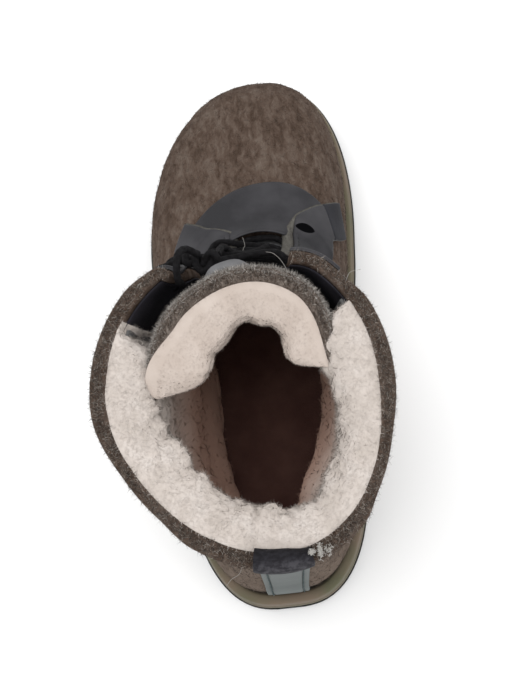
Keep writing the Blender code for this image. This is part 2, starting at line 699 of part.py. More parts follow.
def make_eyestay(name, side):
    rows = [(THROAT_LEVEL - row[0], THROAT_LEVEL - row[1], *row[2:]) for row in FOOT_ROWS[side]]
    rows += [(level, level, STAY_EDGE, width)
             for level, width in zip(UPPER_LEVELS[ROWS_BELOW:], THROAT_WIDTHS)]
    shaft_levels = UPPER_LEVELS[ROWS_BELOW + 2:-1] + [EYESTAY_TOP]
    rows += [(level, level, STAY_EDGE, STRAP_WIDTH) for level in shaft_levels]
    grids = ([], [])
    for row, (inner_level, outer_level, inner, outer) in enumerate(rows):
        lines = ([], [])
        for column in range(4):
            offset = inner + (outer - inner) * column / 3
            if row > 1:
                offset = (inner, EYELET_INNER, EYELET_OUTER, outer)[column]
            level = inner_level + (outer_level - inner_level) * column / 3
            around = side * (throat_half(level) + offset)
            thick = TAB_THICK if column == 0 and row < 3 else LEATHER
            bed = TAB_LAP if row < 2 else LAP
            lines[0].append(on_upper(level, around, bed + thick))
            lines[1].append(on_upper(level, around, bed))
        grids[0].append(lines[0])
        grids[1].append(lines[1])
    holes = [(cell + 3, 1) for cell in EYELET_CELLS]
    return slab(name, grids[0], grids[1], GREY_LEATHER, holes, EYELET_SHARE)


make_eyestay("eyestay_medial", 1)
make_eyestay("eyestay_lateral", -1)

# Half-moon: leather on the vamp in front of the throat, ending against the two tabs

MOON_LEVEL = 0.407        # its front edge on the boot's middle line
MOON_BED = 0.8            # over the felt, which rounds away under the tips
MOON_HALF = 35.5          # length round to either tip
MOON_TIP_DROP = 0.015     # how far the front edge falls towards the tips
MOON_LEAN = 0.014         # and how much lower its medial tip lies
MOON_CLEAR = 0.012        # level between the half-moon and the tabs
MOON_LEAST = 0.006        # least width of its tips, in level


def make_moon():
    rows = 5
    columns = 12
    grids = ([], [])
    for row in range(rows + 1):
        lines = ([], [])
        for column in range(columns + 1):
            share = math.sin(math.pi * (column / columns - 0.5))
            around = MOON_HALF * share
            fore = MOON_LEVEL - MOON_TIP_DROP * share ** 2 - MOON_LEAN * share
            back = max(tab_edge(around) - MOON_CLEAR, fore + MOON_LEAST)
            level = fore + (back - fore) * row / rows
            lines[0].append(on_upper(level, around, MOON_BED + LEATHER))
            lines[1].append(on_upper(level, around, MOON_BED))
        grids[0].append(lines[0])
        grids[1].append(lines[1])
    return slab("vamp_moon", grids[0], grids[1], GREY_LEATHER)


make_moon()

# Backstay: a leather strip down the heel seam, below the pull loop

STAY_HALF = 12.0
STAY_LOW = 0.02
STAY_HIGH = 0.86


def make_backstay():
    rows = 12
    columns = 4
    grids = ([], [])
    for row in range(rows + 1):
        level = STAY_LOW + (STAY_HIGH - STAY_LOW) * row / rows
        seam = half_round(level, 1)
        for layer, lift in enumerate((LAP + LEATHER, LAP)):
            grids[layer].append([on_upper(level, seam + STAY_HALF * (1 - 2 * c / columns), lift)
                                 for c in range(columns + 1)])
    return slab("backstay", grids[0], grids[1], BACK_LEATHER)


make_backstay()

# Pull loop: webbing stitched to the back of the shaft, folded over the collar's edge

LOOP_HALF = 12.0
LOOP_THICK = 1.5
LOOP_PROFILE = (          # level, lift, height above the collar
    (0.88, GAP, 0.0), (0.93, GAP + 0.6, 0.0), (0.98, GAP + 2.6, 0.0), (1.0, GAP + 3.4, 2.2),
    (1.0, GAP + 2.0, 5.0), (1.0, -1.0, 6.4), (1.0, -3.6, 5.4), (1.0, -FELT - GAP - 0.2, 3.0),
    (1.0, -FELT - GAP - 0.6, 0.4), (1.0, -FELT - GAP - 0.6, -1.2),
)


def make_loop():
    columns = 4
    grids = ([], [])
    count = len(LOOP_PROFILE)
    for column in range(columns + 1):
        line = []
        for level, lift, above in LOOP_PROFILE:
            seam = half_round(level, 1)
            place = on_upper(level, seam + LOOP_HALF * (1 - 2 * column / columns), lift)
            line.append(place + np.array((0.0, 0.0, above)))
        inner = []
        outer = []
        for row in range(count):
            along = line[min(row + 1, count - 1)] - line[max(row - 1, 0)]
            away = np.cross(along, (1.0, 0.0, 0.0))
            inner.append(line[row])
            outer.append(line[row] - away * (LOOP_THICK / np.linalg.norm(away)))
        grids[0].append(outer)
        grids[1].append(inner)
    return slab("pull_loop", grids[0], grids[1], WEBBING)


make_loop()

# Lace: a bar at the foot of the throat and crossings above it, which come out of the lateral eyelets,
# go over that flap's edge and pass under the medial flap

LACE_LIFT = LAP + LEATHER + 2 * GAP + LACE_RADIUS
EYELET_PLACE = (EYELET_INNER + EYELET_OUTER) / 2
STRAND_APART = 0.020      # level by which a strand keeps clear of the next one at its eyelet
STRAND_EDGE = 2.0         # behind the flap's edge, where a strand turns over it
EDGE_LIFT = LACE_LIFT + 1.1
EDGE_SHARE = 0.14         # share of the way across at that turn
SLOT_CLEAR = 0.9          # from the throat's cut edge to a strand that passes under the flap
SLOT_LIFT = -2.6          # of that strand, at half the felt's thickness
SLOT_RUN = 7.0            # its straight stretch there
EYELET_LEVELS = [(UPPER_LEVELS[ROWS_BELOW + cell] + UPPER_LEVELS[ROWS_BELOW + cell + 1]) / 2
                 for cell in EYELET_CELLS]


def slot_run(level, side):
    """Last two points of a strand that passes under a flap's edge."""
    half = throat_half(level) - SLOT_CLEAR
    return [on_upper(level, side * (half - SLOT_RUN), SLOT_LIFT), on_upper(level, side * half, SLOT_LIFT)]


def flap_edge(level):
    """Point where a strand turns over the lateral flap's edge."""
    return on_upper(level, -throat_half(level) - STRAND_EDGE, EDGE_LIFT)


def strand(lateral, medial):
    """Route from a lateral eyelet over the flap's edge and across, under the medial flap."""
    end = on_upper(lateral, -throat_half(lateral) - EYELET_PLACE, LACE_LIFT)
    edge = flap_edge(lateral + (medial - lateral) * EDGE_SHARE)
    under = slot_run(medial, 1)
    return smooth_path([end, edge, (edge + under[0]) / 2, *under], 2)


def make_crossing(name, low, high):
    """Two strands that cross and are pressed together in the middle."""
    one = tube(name, strand(low, high), LACE_RADIUS, LACE)
    other = tube(name + "_under", strand(high, low), LACE_RADIUS, LACE)
    other.hide_render = True
    other.display_type = "WIRE"
    joint = one.modifiers.new("join", "BOOLEAN")
    joint.operation = "UNION"
    joint.solver = "EXACT"
    joint.object = other


BAR_LEVEL = 0.548
FIRST_CROSSING = (EYELET_LEVELS[1] - STRAND_APART, EYELET_LEVELS[1])
tube("lace_bar", smooth_path(slot_run(BAR_LEVEL, -1)[::-1] + slot_run(BAR_LEVEL, 1), 2), LACE_RADIUS, LACE)
tube("lace_cross_1", strand(*FIRST_CROSSING), LACE_RADIUS, LACE)
for number, pair in enumerate(zip(EYELET_LEVELS[1:], EYELET_LEVELS[2:]), 2):
    make_crossing(f"lace_cross_{number}", pair[0] + STRAND_APART, pair[1] - STRAND_APART)

# Lace's top: strands from the last eyelets to a knot beside the lateral flap, and its two ends,
# one tucked down behind the flap and one lying down the front on the crossings

KNOT = np.array((-15.5, -1.0, 178.5))
KNOT_SIZE = np.array((6.5, 4.8, 5.2))
TOP_LEVEL = EYELET_LEVELS[-1] + STRAND_APART
TOP_RISE = 0.004          # level that the top strands gain on their way to the knot
TOP_SEAT = 0.7            # how much deeper they lie on the leather than the crossings do
TOP_DIP = 1.0             # and how much they dip beside the knot
KNOT_MEDIAL = np.array((7.6, 0.8, 1.0))
KNOT_LATERAL = np.array((-8.8, 1.8, -0.5))
KNOT_FRONT = np.array((4.1, 4.2, -3.3))
END_FRONT = (             # level, share of the way across
    (0.88, 0.5), (0.80, 0.55), (0.73, 0.65), (0.67, 0.8), (0.63, 0.95),
)
END_CLEAR = 1.5           # from that end to the crossings under it
TUCKED_END = (
    (-18.3, 0.2, 184.0), (-22.8, 1.4, 189.4), (-25.6, -1.8, 193.6), (-26.6, -6.8, 194.0),
    (-26.9, -10.8, 189.5), (-26.4, -10.6, 182.0), (-25.6, -9.8, 174.0),
)


def make_knot():
    work = bmesh.new()
    bmesh.ops.create_icosphere(work, subdivisions=2, radius=1.0)
    points = [KNOT + KNOT_SIZE * np.array(vert.co) for vert in work.verts]
    faces = [tuple(vert.index for vert in face.verts) for face in work.faces]
    work.free()
    return add_solid("lace_knot", points, faces, LACE)


def lateral_strand():
    """Route from the lateral top eyelet over the flap's edge to the knot."""
    half = throat_half(TOP_LEVEL)
    knots = [on_upper(TOP_LEVEL, -(half + EYELET_PLACE), LACE_LIFT - TOP_SEAT),
             on_upper(TOP_LEVEL + TOP_RISE, -(half + STRAND_EDGE), EDGE_LIFT),
             on_upper(TOP_LEVEL + 2 * TOP_RISE, -(half - 2 * STRAND_EDGE), LACE_LIFT - TOP_DIP),
             KNOT + KNOT_LATERAL]
    return smooth_path(knots, 3)


def medial_strand():
    """Route from under the medial flap across the throat to the knot."""
    under = slot_run(TOP_LEVEL, 1)
    return smooth_path([under[1], under[0], KNOT + KNOT_MEDIAL], 3)


def over_crossings(level, share):
    """Point on top of the crossings, at a share of the way from the lateral flap to the medial one."""
    edge = flap_edge(level)
    out = on_upper(level, 0.0, 1.0) - on_upper(level, 0.0, 0.0)
    return edge + (slot_run(level, 1)[0] - edge) * share + out * (2 * LACE_RADIUS + END_CLEAR)


make_knot()
tube("lace_top_medial", medial_strand(), LACE_RADIUS, LACE)
tube("lace_top_lateral", lateral_strand(), LACE_RADIUS, LACE)
cord("lace_end_tucked", smooth_path(TUCKED_END, 2), LACE_RADIUS, LACE)
FRONT_END = [KNOT + KNOT_FRONT] + [over_crossings(*row) for row in END_FRONT]
cord("lace_end_front", smooth_path(FRONT_END, 2), LACE_RADIUS, LACE)

# Stand the boot with the middle of its box over the origin

bpy.context.view_layer.update()
corners = [made.matrix_world @ Vector(corner)
           for made in bpy.data.objects if made.type in {"MESH", "CURVE"} and not made.hide_render
           for corner in made.bound_box]
for axis in (0, 1):
    span = [corner[axis] for corner in corners]
    BOOT.location[axis] = -(min(span) + max(span)) / 2
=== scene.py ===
"""Looks of a left felt winter boot: thick mottled felt, deep fleece, leather at the lacing, a moulded sole.

Lengths are in millimetres in the boot's own frame: +Z up, +Y to the toe, +X to the inner side of the foot.
"""
import math

import bmesh
import bpy
import numpy as np
from mathutils import Matrix, Vector


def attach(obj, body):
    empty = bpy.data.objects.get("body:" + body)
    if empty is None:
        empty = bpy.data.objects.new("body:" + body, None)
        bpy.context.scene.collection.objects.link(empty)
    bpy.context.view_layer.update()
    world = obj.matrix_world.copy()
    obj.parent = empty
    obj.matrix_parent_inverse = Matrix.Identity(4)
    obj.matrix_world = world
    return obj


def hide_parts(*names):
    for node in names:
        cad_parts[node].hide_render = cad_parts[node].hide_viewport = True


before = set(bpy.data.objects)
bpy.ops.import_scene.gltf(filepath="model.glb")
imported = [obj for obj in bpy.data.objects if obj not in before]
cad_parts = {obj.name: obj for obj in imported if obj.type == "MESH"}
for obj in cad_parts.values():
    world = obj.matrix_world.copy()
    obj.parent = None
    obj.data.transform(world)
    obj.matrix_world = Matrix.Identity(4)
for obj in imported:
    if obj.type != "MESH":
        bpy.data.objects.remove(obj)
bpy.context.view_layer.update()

# Studio: white paper on the floor under a broad soft light from above, in a pale room.
# The camera looks down into the boot from above its heel, as one looks at a boot just taken off.

MM = 0.001
BOOT_PLACE = np.array((3.597, 1.417, 0.0))    # zero of the boot's own frame, seen from the origin
EYE = np.array((16.0, -136.6, 640.0))
EYE_TILT = 0.2055                             # turns of the camera, in radians
EYE_ROLL = 0.0529
EYE_HEADING = -0.1047
LENS = 61.42
SENSOR = 36.0
PAPER_WHITE = (0.93, 0.93, 0.93)
PAPER_REACH = 4.0                             # metres to each side
PAPER_DROP = -0.0004                          # just under the tread
ROOM_LIGHT = 0.80


def add_node(tree, kind, sockets=None, **settings):
    """Node with its settings, and with values or links on the sockets named."""
    node = tree.nodes.new(kind)
    for key, value in settings.items():
        setattr(node, key, value)
    for socket, value in (sockets or {}).items():
        if isinstance(value, bpy.types.NodeSocket):
            tree.links.new(value, node.inputs[socket])
        else:
            node.inputs[socket].default_value = value
    return node


def new_finish(name, roughness, sheen=0.0, specular=0.5):
    """Material with the values that are the same all over its surface."""
    made = bpy.data.materials.new(name)
    made.use_nodes = True
    shader = made.node_tree.nodes["Principled BSDF"]
    shader.inputs["Roughness"].default_value = roughness
    shader.inputs["Sheen Weight"].default_value = sheen
    shader.inputs["Specular IOR Level"].default_value = specular
    return made, made.node_tree, shader


def plain_finish(name, roughness, specular, colour):
    """Material of one colour all over."""
    made, tree, shader = new_finish(name, roughness, specular=specular)
    shader.inputs["Base Color"].default_value = (*colour, 1.0)
    return made


def tone_ramp(tree, factor, stops):
    """Colour ramp through the stops, each a place and a linear colour."""
    ramp = add_node(tree, "ShaderNodeValToRGB", {"Fac": factor})
    band = ramp.color_ramp
    while len(band.elements) < len(stops):
        band.elements.new(0.5)
    for element, (place, colour) in zip(band.elements, stops):
        element.position = place
        element.color = (*colour, 1.0)
    return ramp.outputs["Color"]


def add_light(name, place, aim, size, power):
    lamp = bpy.data.lights.new(name, "AREA")
    lamp.shape = "DISK"
    lamp.size = size
    lamp.energy = power
    made = bpy.data.objects.new(name, lamp)
    made.location = place
    made.rotation_euler = (Vector(aim) - Vector(place)).to_track_quat("-Z", "Y").to_euler()
    bpy.context.scene.collection.objects.link(made)


def make_studio():
    paper = plain_finish("white_paper", 0.9, 0.0, PAPER_WHITE)
    sheet = bpy.data.meshes.new("floor")
    corners = [(PAPER_REACH * x, PAPER_REACH * y, 0) for x, y in ((-1, -1), (1, -1), (1, 1), (-1, 1))]
    sheet.from_pydata(corners, [], [(0, 1, 2, 3)])
    sheet.materials.append(paper)
    floor = bpy.data.objects.new("floor", sheet)
    floor.location.z = PAPER_DROP
    bpy.context.scene.collection.objects.link(floor)
    world = bpy.data.worlds.new("pale_room")
    bpy.context.scene.world = world
    world.use_nodes = True
    room = world.node_tree.nodes["Background"]
    room.inputs["Color"].default_value = (1.0, 1.0, 1.0, 1.0)
    room.inputs["Strength"].default_value = ROOM_LIGHT
    add_light("softbox_above", (-0.2, 0.1, 1.5), (0.0, 0.0, 0.05), 1.2, 15.0)
    add_light("softbox_side", (0.9, -0.7, 1.0), (0.0, 0.0, 0.08), 0.8, 2.5)
    bpy.context.scene.view_settings.view_transform = "Standard"


def make_camera():
    lens = bpy.data.cameras.new("camera")
    lens.sensor_width = SENSOR
    lens.lens = LENS
    made = bpy.data.objects.new("camera", lens)
    turn = (Matrix.Rotation(EYE_HEADING, 4, "Z") @ Matrix.Rotation(EYE_ROLL, 4, "Y")
            @ Matrix.Rotation(EYE_TILT, 4, "X"))
    turn.translation = Vector((EYE + BOOT_PLACE) * MM)
    made.matrix_world = turn
    bpy.context.scene.collection.objects.link(made)
    bpy.context.scene.camera = made


make_studio()
make_camera()

# Outsole: black rubber, moulded with chevron lugs under heel and forefoot and a smooth arch between.
# It is glued under the midsole, and its lower edges are rounded and dusty.

HEEL_BACK = -145.0
TOE_FRONT = 142.0
TOE_SPRING = 13.0
SPRING_START = 72.0
ARCH_RISE = 5.0
ARCH_BACK = -80.0
ARCH_FRONT = 10.0
SOLE = dict(
    back=HEEL_BACK, front=TOE_FRONT, widest=46.0, lateral=58.2, medial=58.0,
    base_x=-0.6, back_x=-1.0, front_x=11.5, back_power=2.9, front_power=2.4, waist=0.18,
)
WAIST_Y = -28.0
WAIST_SPAN = 52.0
WAIST_LATERAL_SHARE = 0.55
BEND_POWER = 1.5
OUTSOLE_BASE = 4.5
LUG_DEPTH = 3.5
LUG_ROWS = ((-141.0, 11.0, 5.0, 5), (6.0, 10.0, 5.0, 9))    # start, lug, groove, count
LUG_ROUND = 0.6
CHEVRON = 5.0
END_EASE = 12.0
RUBBER_BLACK = (0.013, 0.013, 0.012)
RUBBER_DUST = (0.06, 0.055, 0.045)


def smoothstep(low, high, value):
    t = np.clip((np.asarray(value, float) - low) / (high - low), 0.0, 1.0)
    return t * t * (3 - 2 * t)


def plan_curve(section, angle):
    """Plan point at an angle: 0 is the toe, +90 degrees the medial side, 180 the heel."""
    along = np.cos(angle)
    across = np.sin(angle)
    fore = along >= 0
    power = np.where(fore, section["front_power"], section["back_power"])
    reach = np.where(fore, section["front"] - section["widest"], section["widest"] - section["back"])
    share = np.abs(along) ** (2 / power)
    y = section["widest"] + np.sign(along) * reach * share
    inner = across >= 0
    half = np.where(inner, section["medial"], section["lateral"]) * np.abs(across) ** (2 / power)
    pinch = section["waist"] * np.exp(-((y - WAIST_Y) / WAIST_SPAN) ** 2)
    half = half * (1 - pinch * np.where(inner, 1.0, WAIST_LATERAL_SHARE))
    bend = np.where(fore, section["front_x"], section["back_x"]) - section["base_x"]
    x = section["base_x"] + bend * share ** BEND_POWER + np.sign(across) * half
    return x, y


def toe_spring(y):
    """Rise of the sole towards the toe."""
    return TOE_SPRING * (np.clip(y - SPRING_START, 0, None) / (TOE_FRONT - SPRING_START)) ** 2


def sole_bottom(y):
    """Underside of the sole: flat heel and forefoot, an arch between them and the toe spring."""
    y = np.asarray(y, float)
    middle = (y - ARCH_BACK) / (ARCH_FRONT - ARCH_BACK)
    arch = np.where((middle > 0) & (middle < 1), ARCH_RISE * np.sin(math.pi * middle) ** 2, 0.0)
    return arch + toe_spring(y)


def add_mesh(name, points, faces, finish, closed=True):
    """Mesh object that rides on the boot, from points in millimetres and rows of corner numbers."""
    mesh = bpy.data.meshes.new(name)
    mesh.from_pydata(((np.asarray(points) + BOOT_PLACE) * MM).tolist(), [], np.asarray(faces).tolist())
    if closed:
        work = bmesh.new()
        work.from_mesh(mesh)
        bmesh.ops.recalc_face_normals(work, faces=work.faces)
        work.to_mesh(mesh)
        work.free()
    mesh.materials.append(finish)
    mesh.shade_smooth()
    made = bpy.data.objects.new(name, mesh)
    bpy.context.scene.collection.objects.link(made)
    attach(made, "root")
    return made


def grid_cells(grid, keep=None, ring=False):
    """Four corners of each cell of a grid; keep says which are there, and a ring closes on itself."""
    last = grid.shape[1] if ring else grid.shape[1] - 1
    left = grid[:, :last]
    right = np.roll(grid, -1, axis=1)[:, :last]
    cells = np.stack((left[:-1], right[:-1], right[1:], left[1:]), axis=2)
    return cells.reshape(-1, *cells.shape[2:]) if keep is None else cells[keep]


def wall(outer, inner, keep=None, ring=False):
    """Points and faces of a sheet between two grids, closed along every edge of the cells that are there."""
    count = outer.shape[0] * outer.shape[1]
    cells = grid_cells(np.arange(count).reshape(outer.shape[:2]), keep, ring)
    edges = np.concatenate([cells[:, pair] for pair in ((0, 1), (1, 2), (2, 3), (3, 0))])
    border = edges[~np.isin(edges[:, 0] * count + edges[:, 1], edges[:, 1] * count + edges[:, 0])]
    rim = np.stack((border[:, 1], border[:, 0], border[:, 0] + count, border[:, 1] + count), axis=-1)
    faces = np.concatenate((cells, cells[:, ::-1] + count, rim))
    points = np.concatenate((outer.reshape(-1, 3), inner.reshape(-1, 3)))
    used, faces = np.unique(faces, return_inverse=True)
    return points[used], faces.reshape(-1, 4)


def new_group(name, inputs, outputs):
    """Shader node group with named sockets, and its two end nodes."""
    group = bpy.data.node_groups.new(name, "ShaderNodeTree")
    for label, kind, value in inputs:
        socket = group.interface.new_socket(label, in_out="INPUT", socket_type=kind)
        if value is not None:
            socket.default_value = value
    for label in outputs:
        group.interface.new_socket(label, in_out="OUTPUT", socket_type="NodeSocketFloat")
    return group, group.nodes.new("NodeGroupInput"), group.nodes.new("NodeGroupOutput")


def add_noise(tree, place, scale, detail, **more):
    """Soft random values over the places given."""
    sockets = {"Vector": place, "Scale": scale, "Detail": detail, **more}
    return add_node(tree, "ShaderNodeTexNoise", sockets).outputs["Fac"]


def make_speckle_group():
    """Soft patches and fine specks: dust, moulding marks and uneven dye."""
    group, given, put = new_group("speckle", (
        ("Place", "NodeSocketVector", None), ("Patch Size", "NodeSocketFloat", 120.0),
        ("Speck Size", "NodeSocketFloat", 900.0),
    ), ("Patches", "Specks"))
    for size, detail, mark in (("Patch Size", 4.0, "Patches"), ("Speck Size", 2.0, "Specks")):
        noise = add_noise(group, given.outputs["Place"], given.outputs[size], detail)
        group.links.new(noise, put.inputs[mark])
    return group


SPECKLE = make_speckle_group()


def place_group(tree, group, sockets):
    return add_node(tree, "ShaderNodeGroup", sockets, node_tree=group)


def object_place(tree):
    return add_node(tree, "ShaderNodeTexCoord").outputs["Object"]


def add_bump(tree, shader, height, strength, distance):
    bump = add_node(tree, "ShaderNodeBump", {
        "Height": height, "Strength": strength, "Distance": distance * MM})
    tree.links.new(bump.outputs["Normal"], shader.inputs["Normal"])


def place_speckle(tree, patch, speck):
    """Masks of patches and of specks over a material, at the two sizes given."""
    marks = place_group(tree, SPECKLE, {
        "Place": object_place(tree), "Patch Size": patch, "Speck Size": speck})
    return marks.outputs["Patches"], marks.outputs["Specks"]


def make_speckled(name, roughness, specular, sizes, stops, bump, sheen=0.0):
    """Finish with patchy colour and a fine relief, of the strength and depth that bump gives."""
    finish, tree, shader = new_finish(name, roughness, sheen, specular)
    patches, specks = place_speckle(tree, *sizes)
    tree.links.new(tone_ramp(tree, patches, stops), shader.inputs["Base Color"])
    add_bump(tree, shader, specks, *bump)
    return finish


def sole_edges():
    """Lateral and medial edge of the sole's plan, as lines from heel to toe."""
    turn = np.linspace(0, math.pi, 900)
    return (np.stack(plan_curve(SOLE, -turn), axis=1)[::-1], np.stack(plan_curve(SOLE, turn), axis=1)[::-1])


LATERAL_EDGE, MEDIAL_EDGE = sole_edges()


def sole_across(y, share):
    low = np.interp(y, LATERAL_EDGE[:, 1], LATERAL_EDGE[:, 0])
    high = np.interp(y, MEDIAL_EDGE[:, 1], MEDIAL_EDGE[:, 0])
    return low + (high - low) * share


def tread_stations():
    """Stations along the sole with the tread's depth at each, lugs rounded along both edges."""
    stations = [(HEEL_BACK + step, 0.0) for step in (0.15, 0.5, 1.0, 1.7, 2.6)]
    for start, lug, groove, count in LUG_ROWS:
        if start > 0:
            waist = np.linspace(stations[-1][0], start, 26)[1:-1]
            stations += [(float(y), LUG_DEPTH) for y in waist]
        for index in range(count):
            front = start + index * (lug + groove)
            if index or start > 0:
                stations += [(front, LUG_DEPTH), (front + 0.02, LUG_ROUND)]
            inside = np.linspace(front + LUG_ROUND, front + lug - LUG_ROUND, 5)
            stations += [(float(y), 0.0) for y in inside]
            stations += [(front + lug - 0.02, LUG_ROUND), (front + lug, LUG_DEPTH)]
            if index < count - 1:
                stations += [(front + lug + groove / 2, LUG_DEPTH)]
    return stations + [(TOE_FRONT - step, LUG_DEPTH) for step in (3.2, 2.2, 1.3, 0.6, 0.15)]


def make_outsole():
    shares = np.concatenate(([0.0, 0.012], np.linspace(0.08, 0.92, 11), [0.988, 1.0]))
    edge = np.where((shares < 0.001) | (shares > 0.999), LUG_ROUND, 0.0)
    under, over = [], []
    for station, depth in tread_stations():
        ease = min(1.0, (station - HEEL_BACK) / END_EASE, (TOE_FRONT - station) / END_EASE)
        y = station + CHEVRON * ease * (1 - np.abs(2 * shares - 1))
        under.append(np.stack((sole_across(y, shares), y, sole_bottom(y) + np.maximum(depth, edge)), axis=1))
        top = np.full(len(shares), float(sole_bottom(station)) + LUG_DEPTH + OUTSOLE_BASE)
        over.append(np.stack((sole_across(station, shares), np.full(len(shares), station), top), axis=1))
    rubber = make_speckled("outsole_rubber", 0.7, 0.35, (60.0, 700.0),
                           ((0.42, RUBBER_BLACK), (0.72, RUBBER_DUST)), (0.5, 0.25))
    made = add_mesh("outsole_rubber_tread", *wall(np.array(over), np.array(under)), rubber)
    made.data.set_sharp_from_angle(angle=math.radians(40))
    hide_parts("outsole")


make_outsole()

# Midsole: a block of brown-olive foam moulded with a flared side, a groove round it and a thin top lip.
# It is glued between the upper and the outsole. Shadow is painted into its top beside the felt.

HEEL_HEIGHT = 28.0
BALL_HEIGHT = 17.0
HEEL_BREAST = -80.0
BALL_BACK = 30.0
GAP = 0.3
FOAM_SIDE = (    # share of the way down, inset from the sole's outline
    (0.0, 10.6), (0.06, 9.8), (0.09, 8.8), (0.03, 7.8), (0.0, 6.9), (0.0, 3.7), (0.03, 3.0),
    (0.09, 2.65), (0.16, 2.45), (0.28, 2.0), (0.39, 1.7), (0.42, 1.8), (0.45, 2.5), (0.48, 2.8),
    (0.57, 2.8), (0.60, 2.4), (0.63, 1.45), (0.66, 1.3), (0.8, 1.0), (0.96, 0.8), (1.0, 1.1),
)
FOAM_PAINTED_SHADOW = (0.7, 1.0, 1.0, 0.6, 0.15, 0.0)    # painted shadow in the groove beside the felt, by row of the side
FOAM_STATIONS = 150
FOAM_CROWD = 0.75         # how far its stations crowd towards toe and heel
FOAM_BROWN = (0.150, 0.112, 0.078)
FOAM_OLIVE = (0.105, 0.100, 0.058)
FOAM_SHADOW = (0.022, 0.017, 0.012)
ROUND_ANGLES = np.linspace(-math.pi, math.pi, 1441)    # once round in plan, from the heel


def footbed(y):
    """Top of the sole, from the raised heel down to the ball and up again with the toe spring."""
    drop = (BALL_HEIGHT - HEEL_HEIGHT) * smoothstep(HEEL_BREAST, BALL_BACK, y)
    return HEEL_HEIGHT + drop + toe_spring(y)


def sole_outline(inset):
    """Closed plan curve of the sole, drawn in by an inset along its own normals."""
    nudge = 0.01
    along = np.stack(plan_curve(SOLE, ROUND_ANGLES + nudge), axis=1)
    along -= np.stack(plan_curve(SOLE, ROUND_ANGLES - nudge), axis=1)
    along /= np.linalg.norm(along, axis=1)[:, None]
    inward = np.stack((along[:, 1], -along[:, 0]), axis=1)
    return (np.stack(plan_curve(SOLE, ROUND_ANGLES), axis=1) + inset * inward)[:-1]


def mix_tones(tree, factor, one, other):
    """Tone between two others, each a socket or a colour."""
    mixed = add_node(tree, "ShaderNodeMix", {"Factor": factor, "A": one, "B": other}, data_type="RGBA")
    return mixed.outputs["Result"]


def make_foam():
    finish, tree, shader = new_finish("midsole_foam", 0.72, specular=0.35)
    patches, specks = place_speckle(tree, 34.0, 800.0)
    dye = tone_ramp(tree, patches, ((0.38, FOAM_OLIVE), (0.62, FOAM_BROWN)))
    # painted shadow along the groove beside the felt, from each point's value
    groove_shadow = add_node(tree, "ShaderNodeAttribute", attribute_name="groove_shadow").outputs["Fac"]
    tree.links.new(mix_tones(tree, groove_shadow, dye, (*FOAM_SHADOW, 1.0)), shader.inputs["Base Color"])
    add_bump(tree, shader, specks, 0.4, 0.3)
    return finish


def make_midsole():
    rows = []
    even = np.linspace(1, 0, FOAM_STATIONS)
    share = even + FOAM_CROWD * (0.5 - 0.5 * np.cos(math.pi * even) - even)
    for down, inset in FOAM_SIDE:
        outline = sole_outline(inset)
        loop = np.roll(outline, -int(np.argmax(outline[:, 1])), axis=0)
        heel = int(np.argmin(loop[:, 1]))
        y = loop[heel, 1] + 0.05 + (loop[0, 1] - loop[heel, 1] - 0.1) * share
        top = footbed(y)
        z = top + (sole_bottom(y) + LUG_DEPTH + OUTSOLE_BASE + GAP - top) * down
        one = np.stack((np.interp(y, loop[heel::-1, 1], loop[heel::-1, 0]), y, z), axis=1)
        other = np.stack((np.interp(y, loop[heel:, 1], loop[heel:, 0]), y, z), axis=1)
        rows.append(np.concatenate((one, other[::-1])))
    points = np.concatenate(rows)
    count = 2 * FOAM_STATIONS
    faces = [grid_cells(np.arange(len(points)).reshape(-1, count), ring=True)]
    for first in (0, (len(rows) - 1) * count):
        line = first + np.arange(FOAM_STATIONS)
        back = first + count - 1 - np.arange(FOAM_STATIONS)
        faces.append(np.stack((line[:-1], line[1:], back[1:], back[:-1]), axis=1))
    made = add_mesh("midsole_foam_block", points, np.concatenate(faces), make_foam())
    groove_shadow = np.zeros((len(rows), count))
    groove_shadow[:len(FOAM_PAINTED_SHADOW)] = np.array(FOAM_PAINTED_SHADOW)[:, None]
    made.data.attributes.new("groove_shadow", "FLOAT", "POINT").data.foreach_set("value", groove_shadow.ravel())
    made.data.set_sharp_from_angle(angle=math.radians(50))
    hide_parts("midsole")


make_midsole()

# Insole: a sheet of dark brown needle felt laid loose on the footbed.
# The solid's own shape is right, so it only gets its finish.

INSOLE_BROWN = (0.070, 0.033, 0.027)
INSOLE_WORN = (0.110, 0.058, 0.047)

INSOLE_FELT = make_speckled("insole_felt", 0.95, 0.1, (45.0, 900.0),
                            ((0.35, INSOLE_BROWN), (0.7, INSOLE_WORN)), (0.8, 0.5), sheen=0.1)
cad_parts["insole"].data.materials.clear()
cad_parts["insole"].data.materials.append(INSOLE_FELT)

# Upper: vamp, quarters and shaft in one wall of wool felt 5 mm thick, blocked on a last.
# Its cut edges at the collar and throat are raw and darker, and loose wool stands out of it all over.

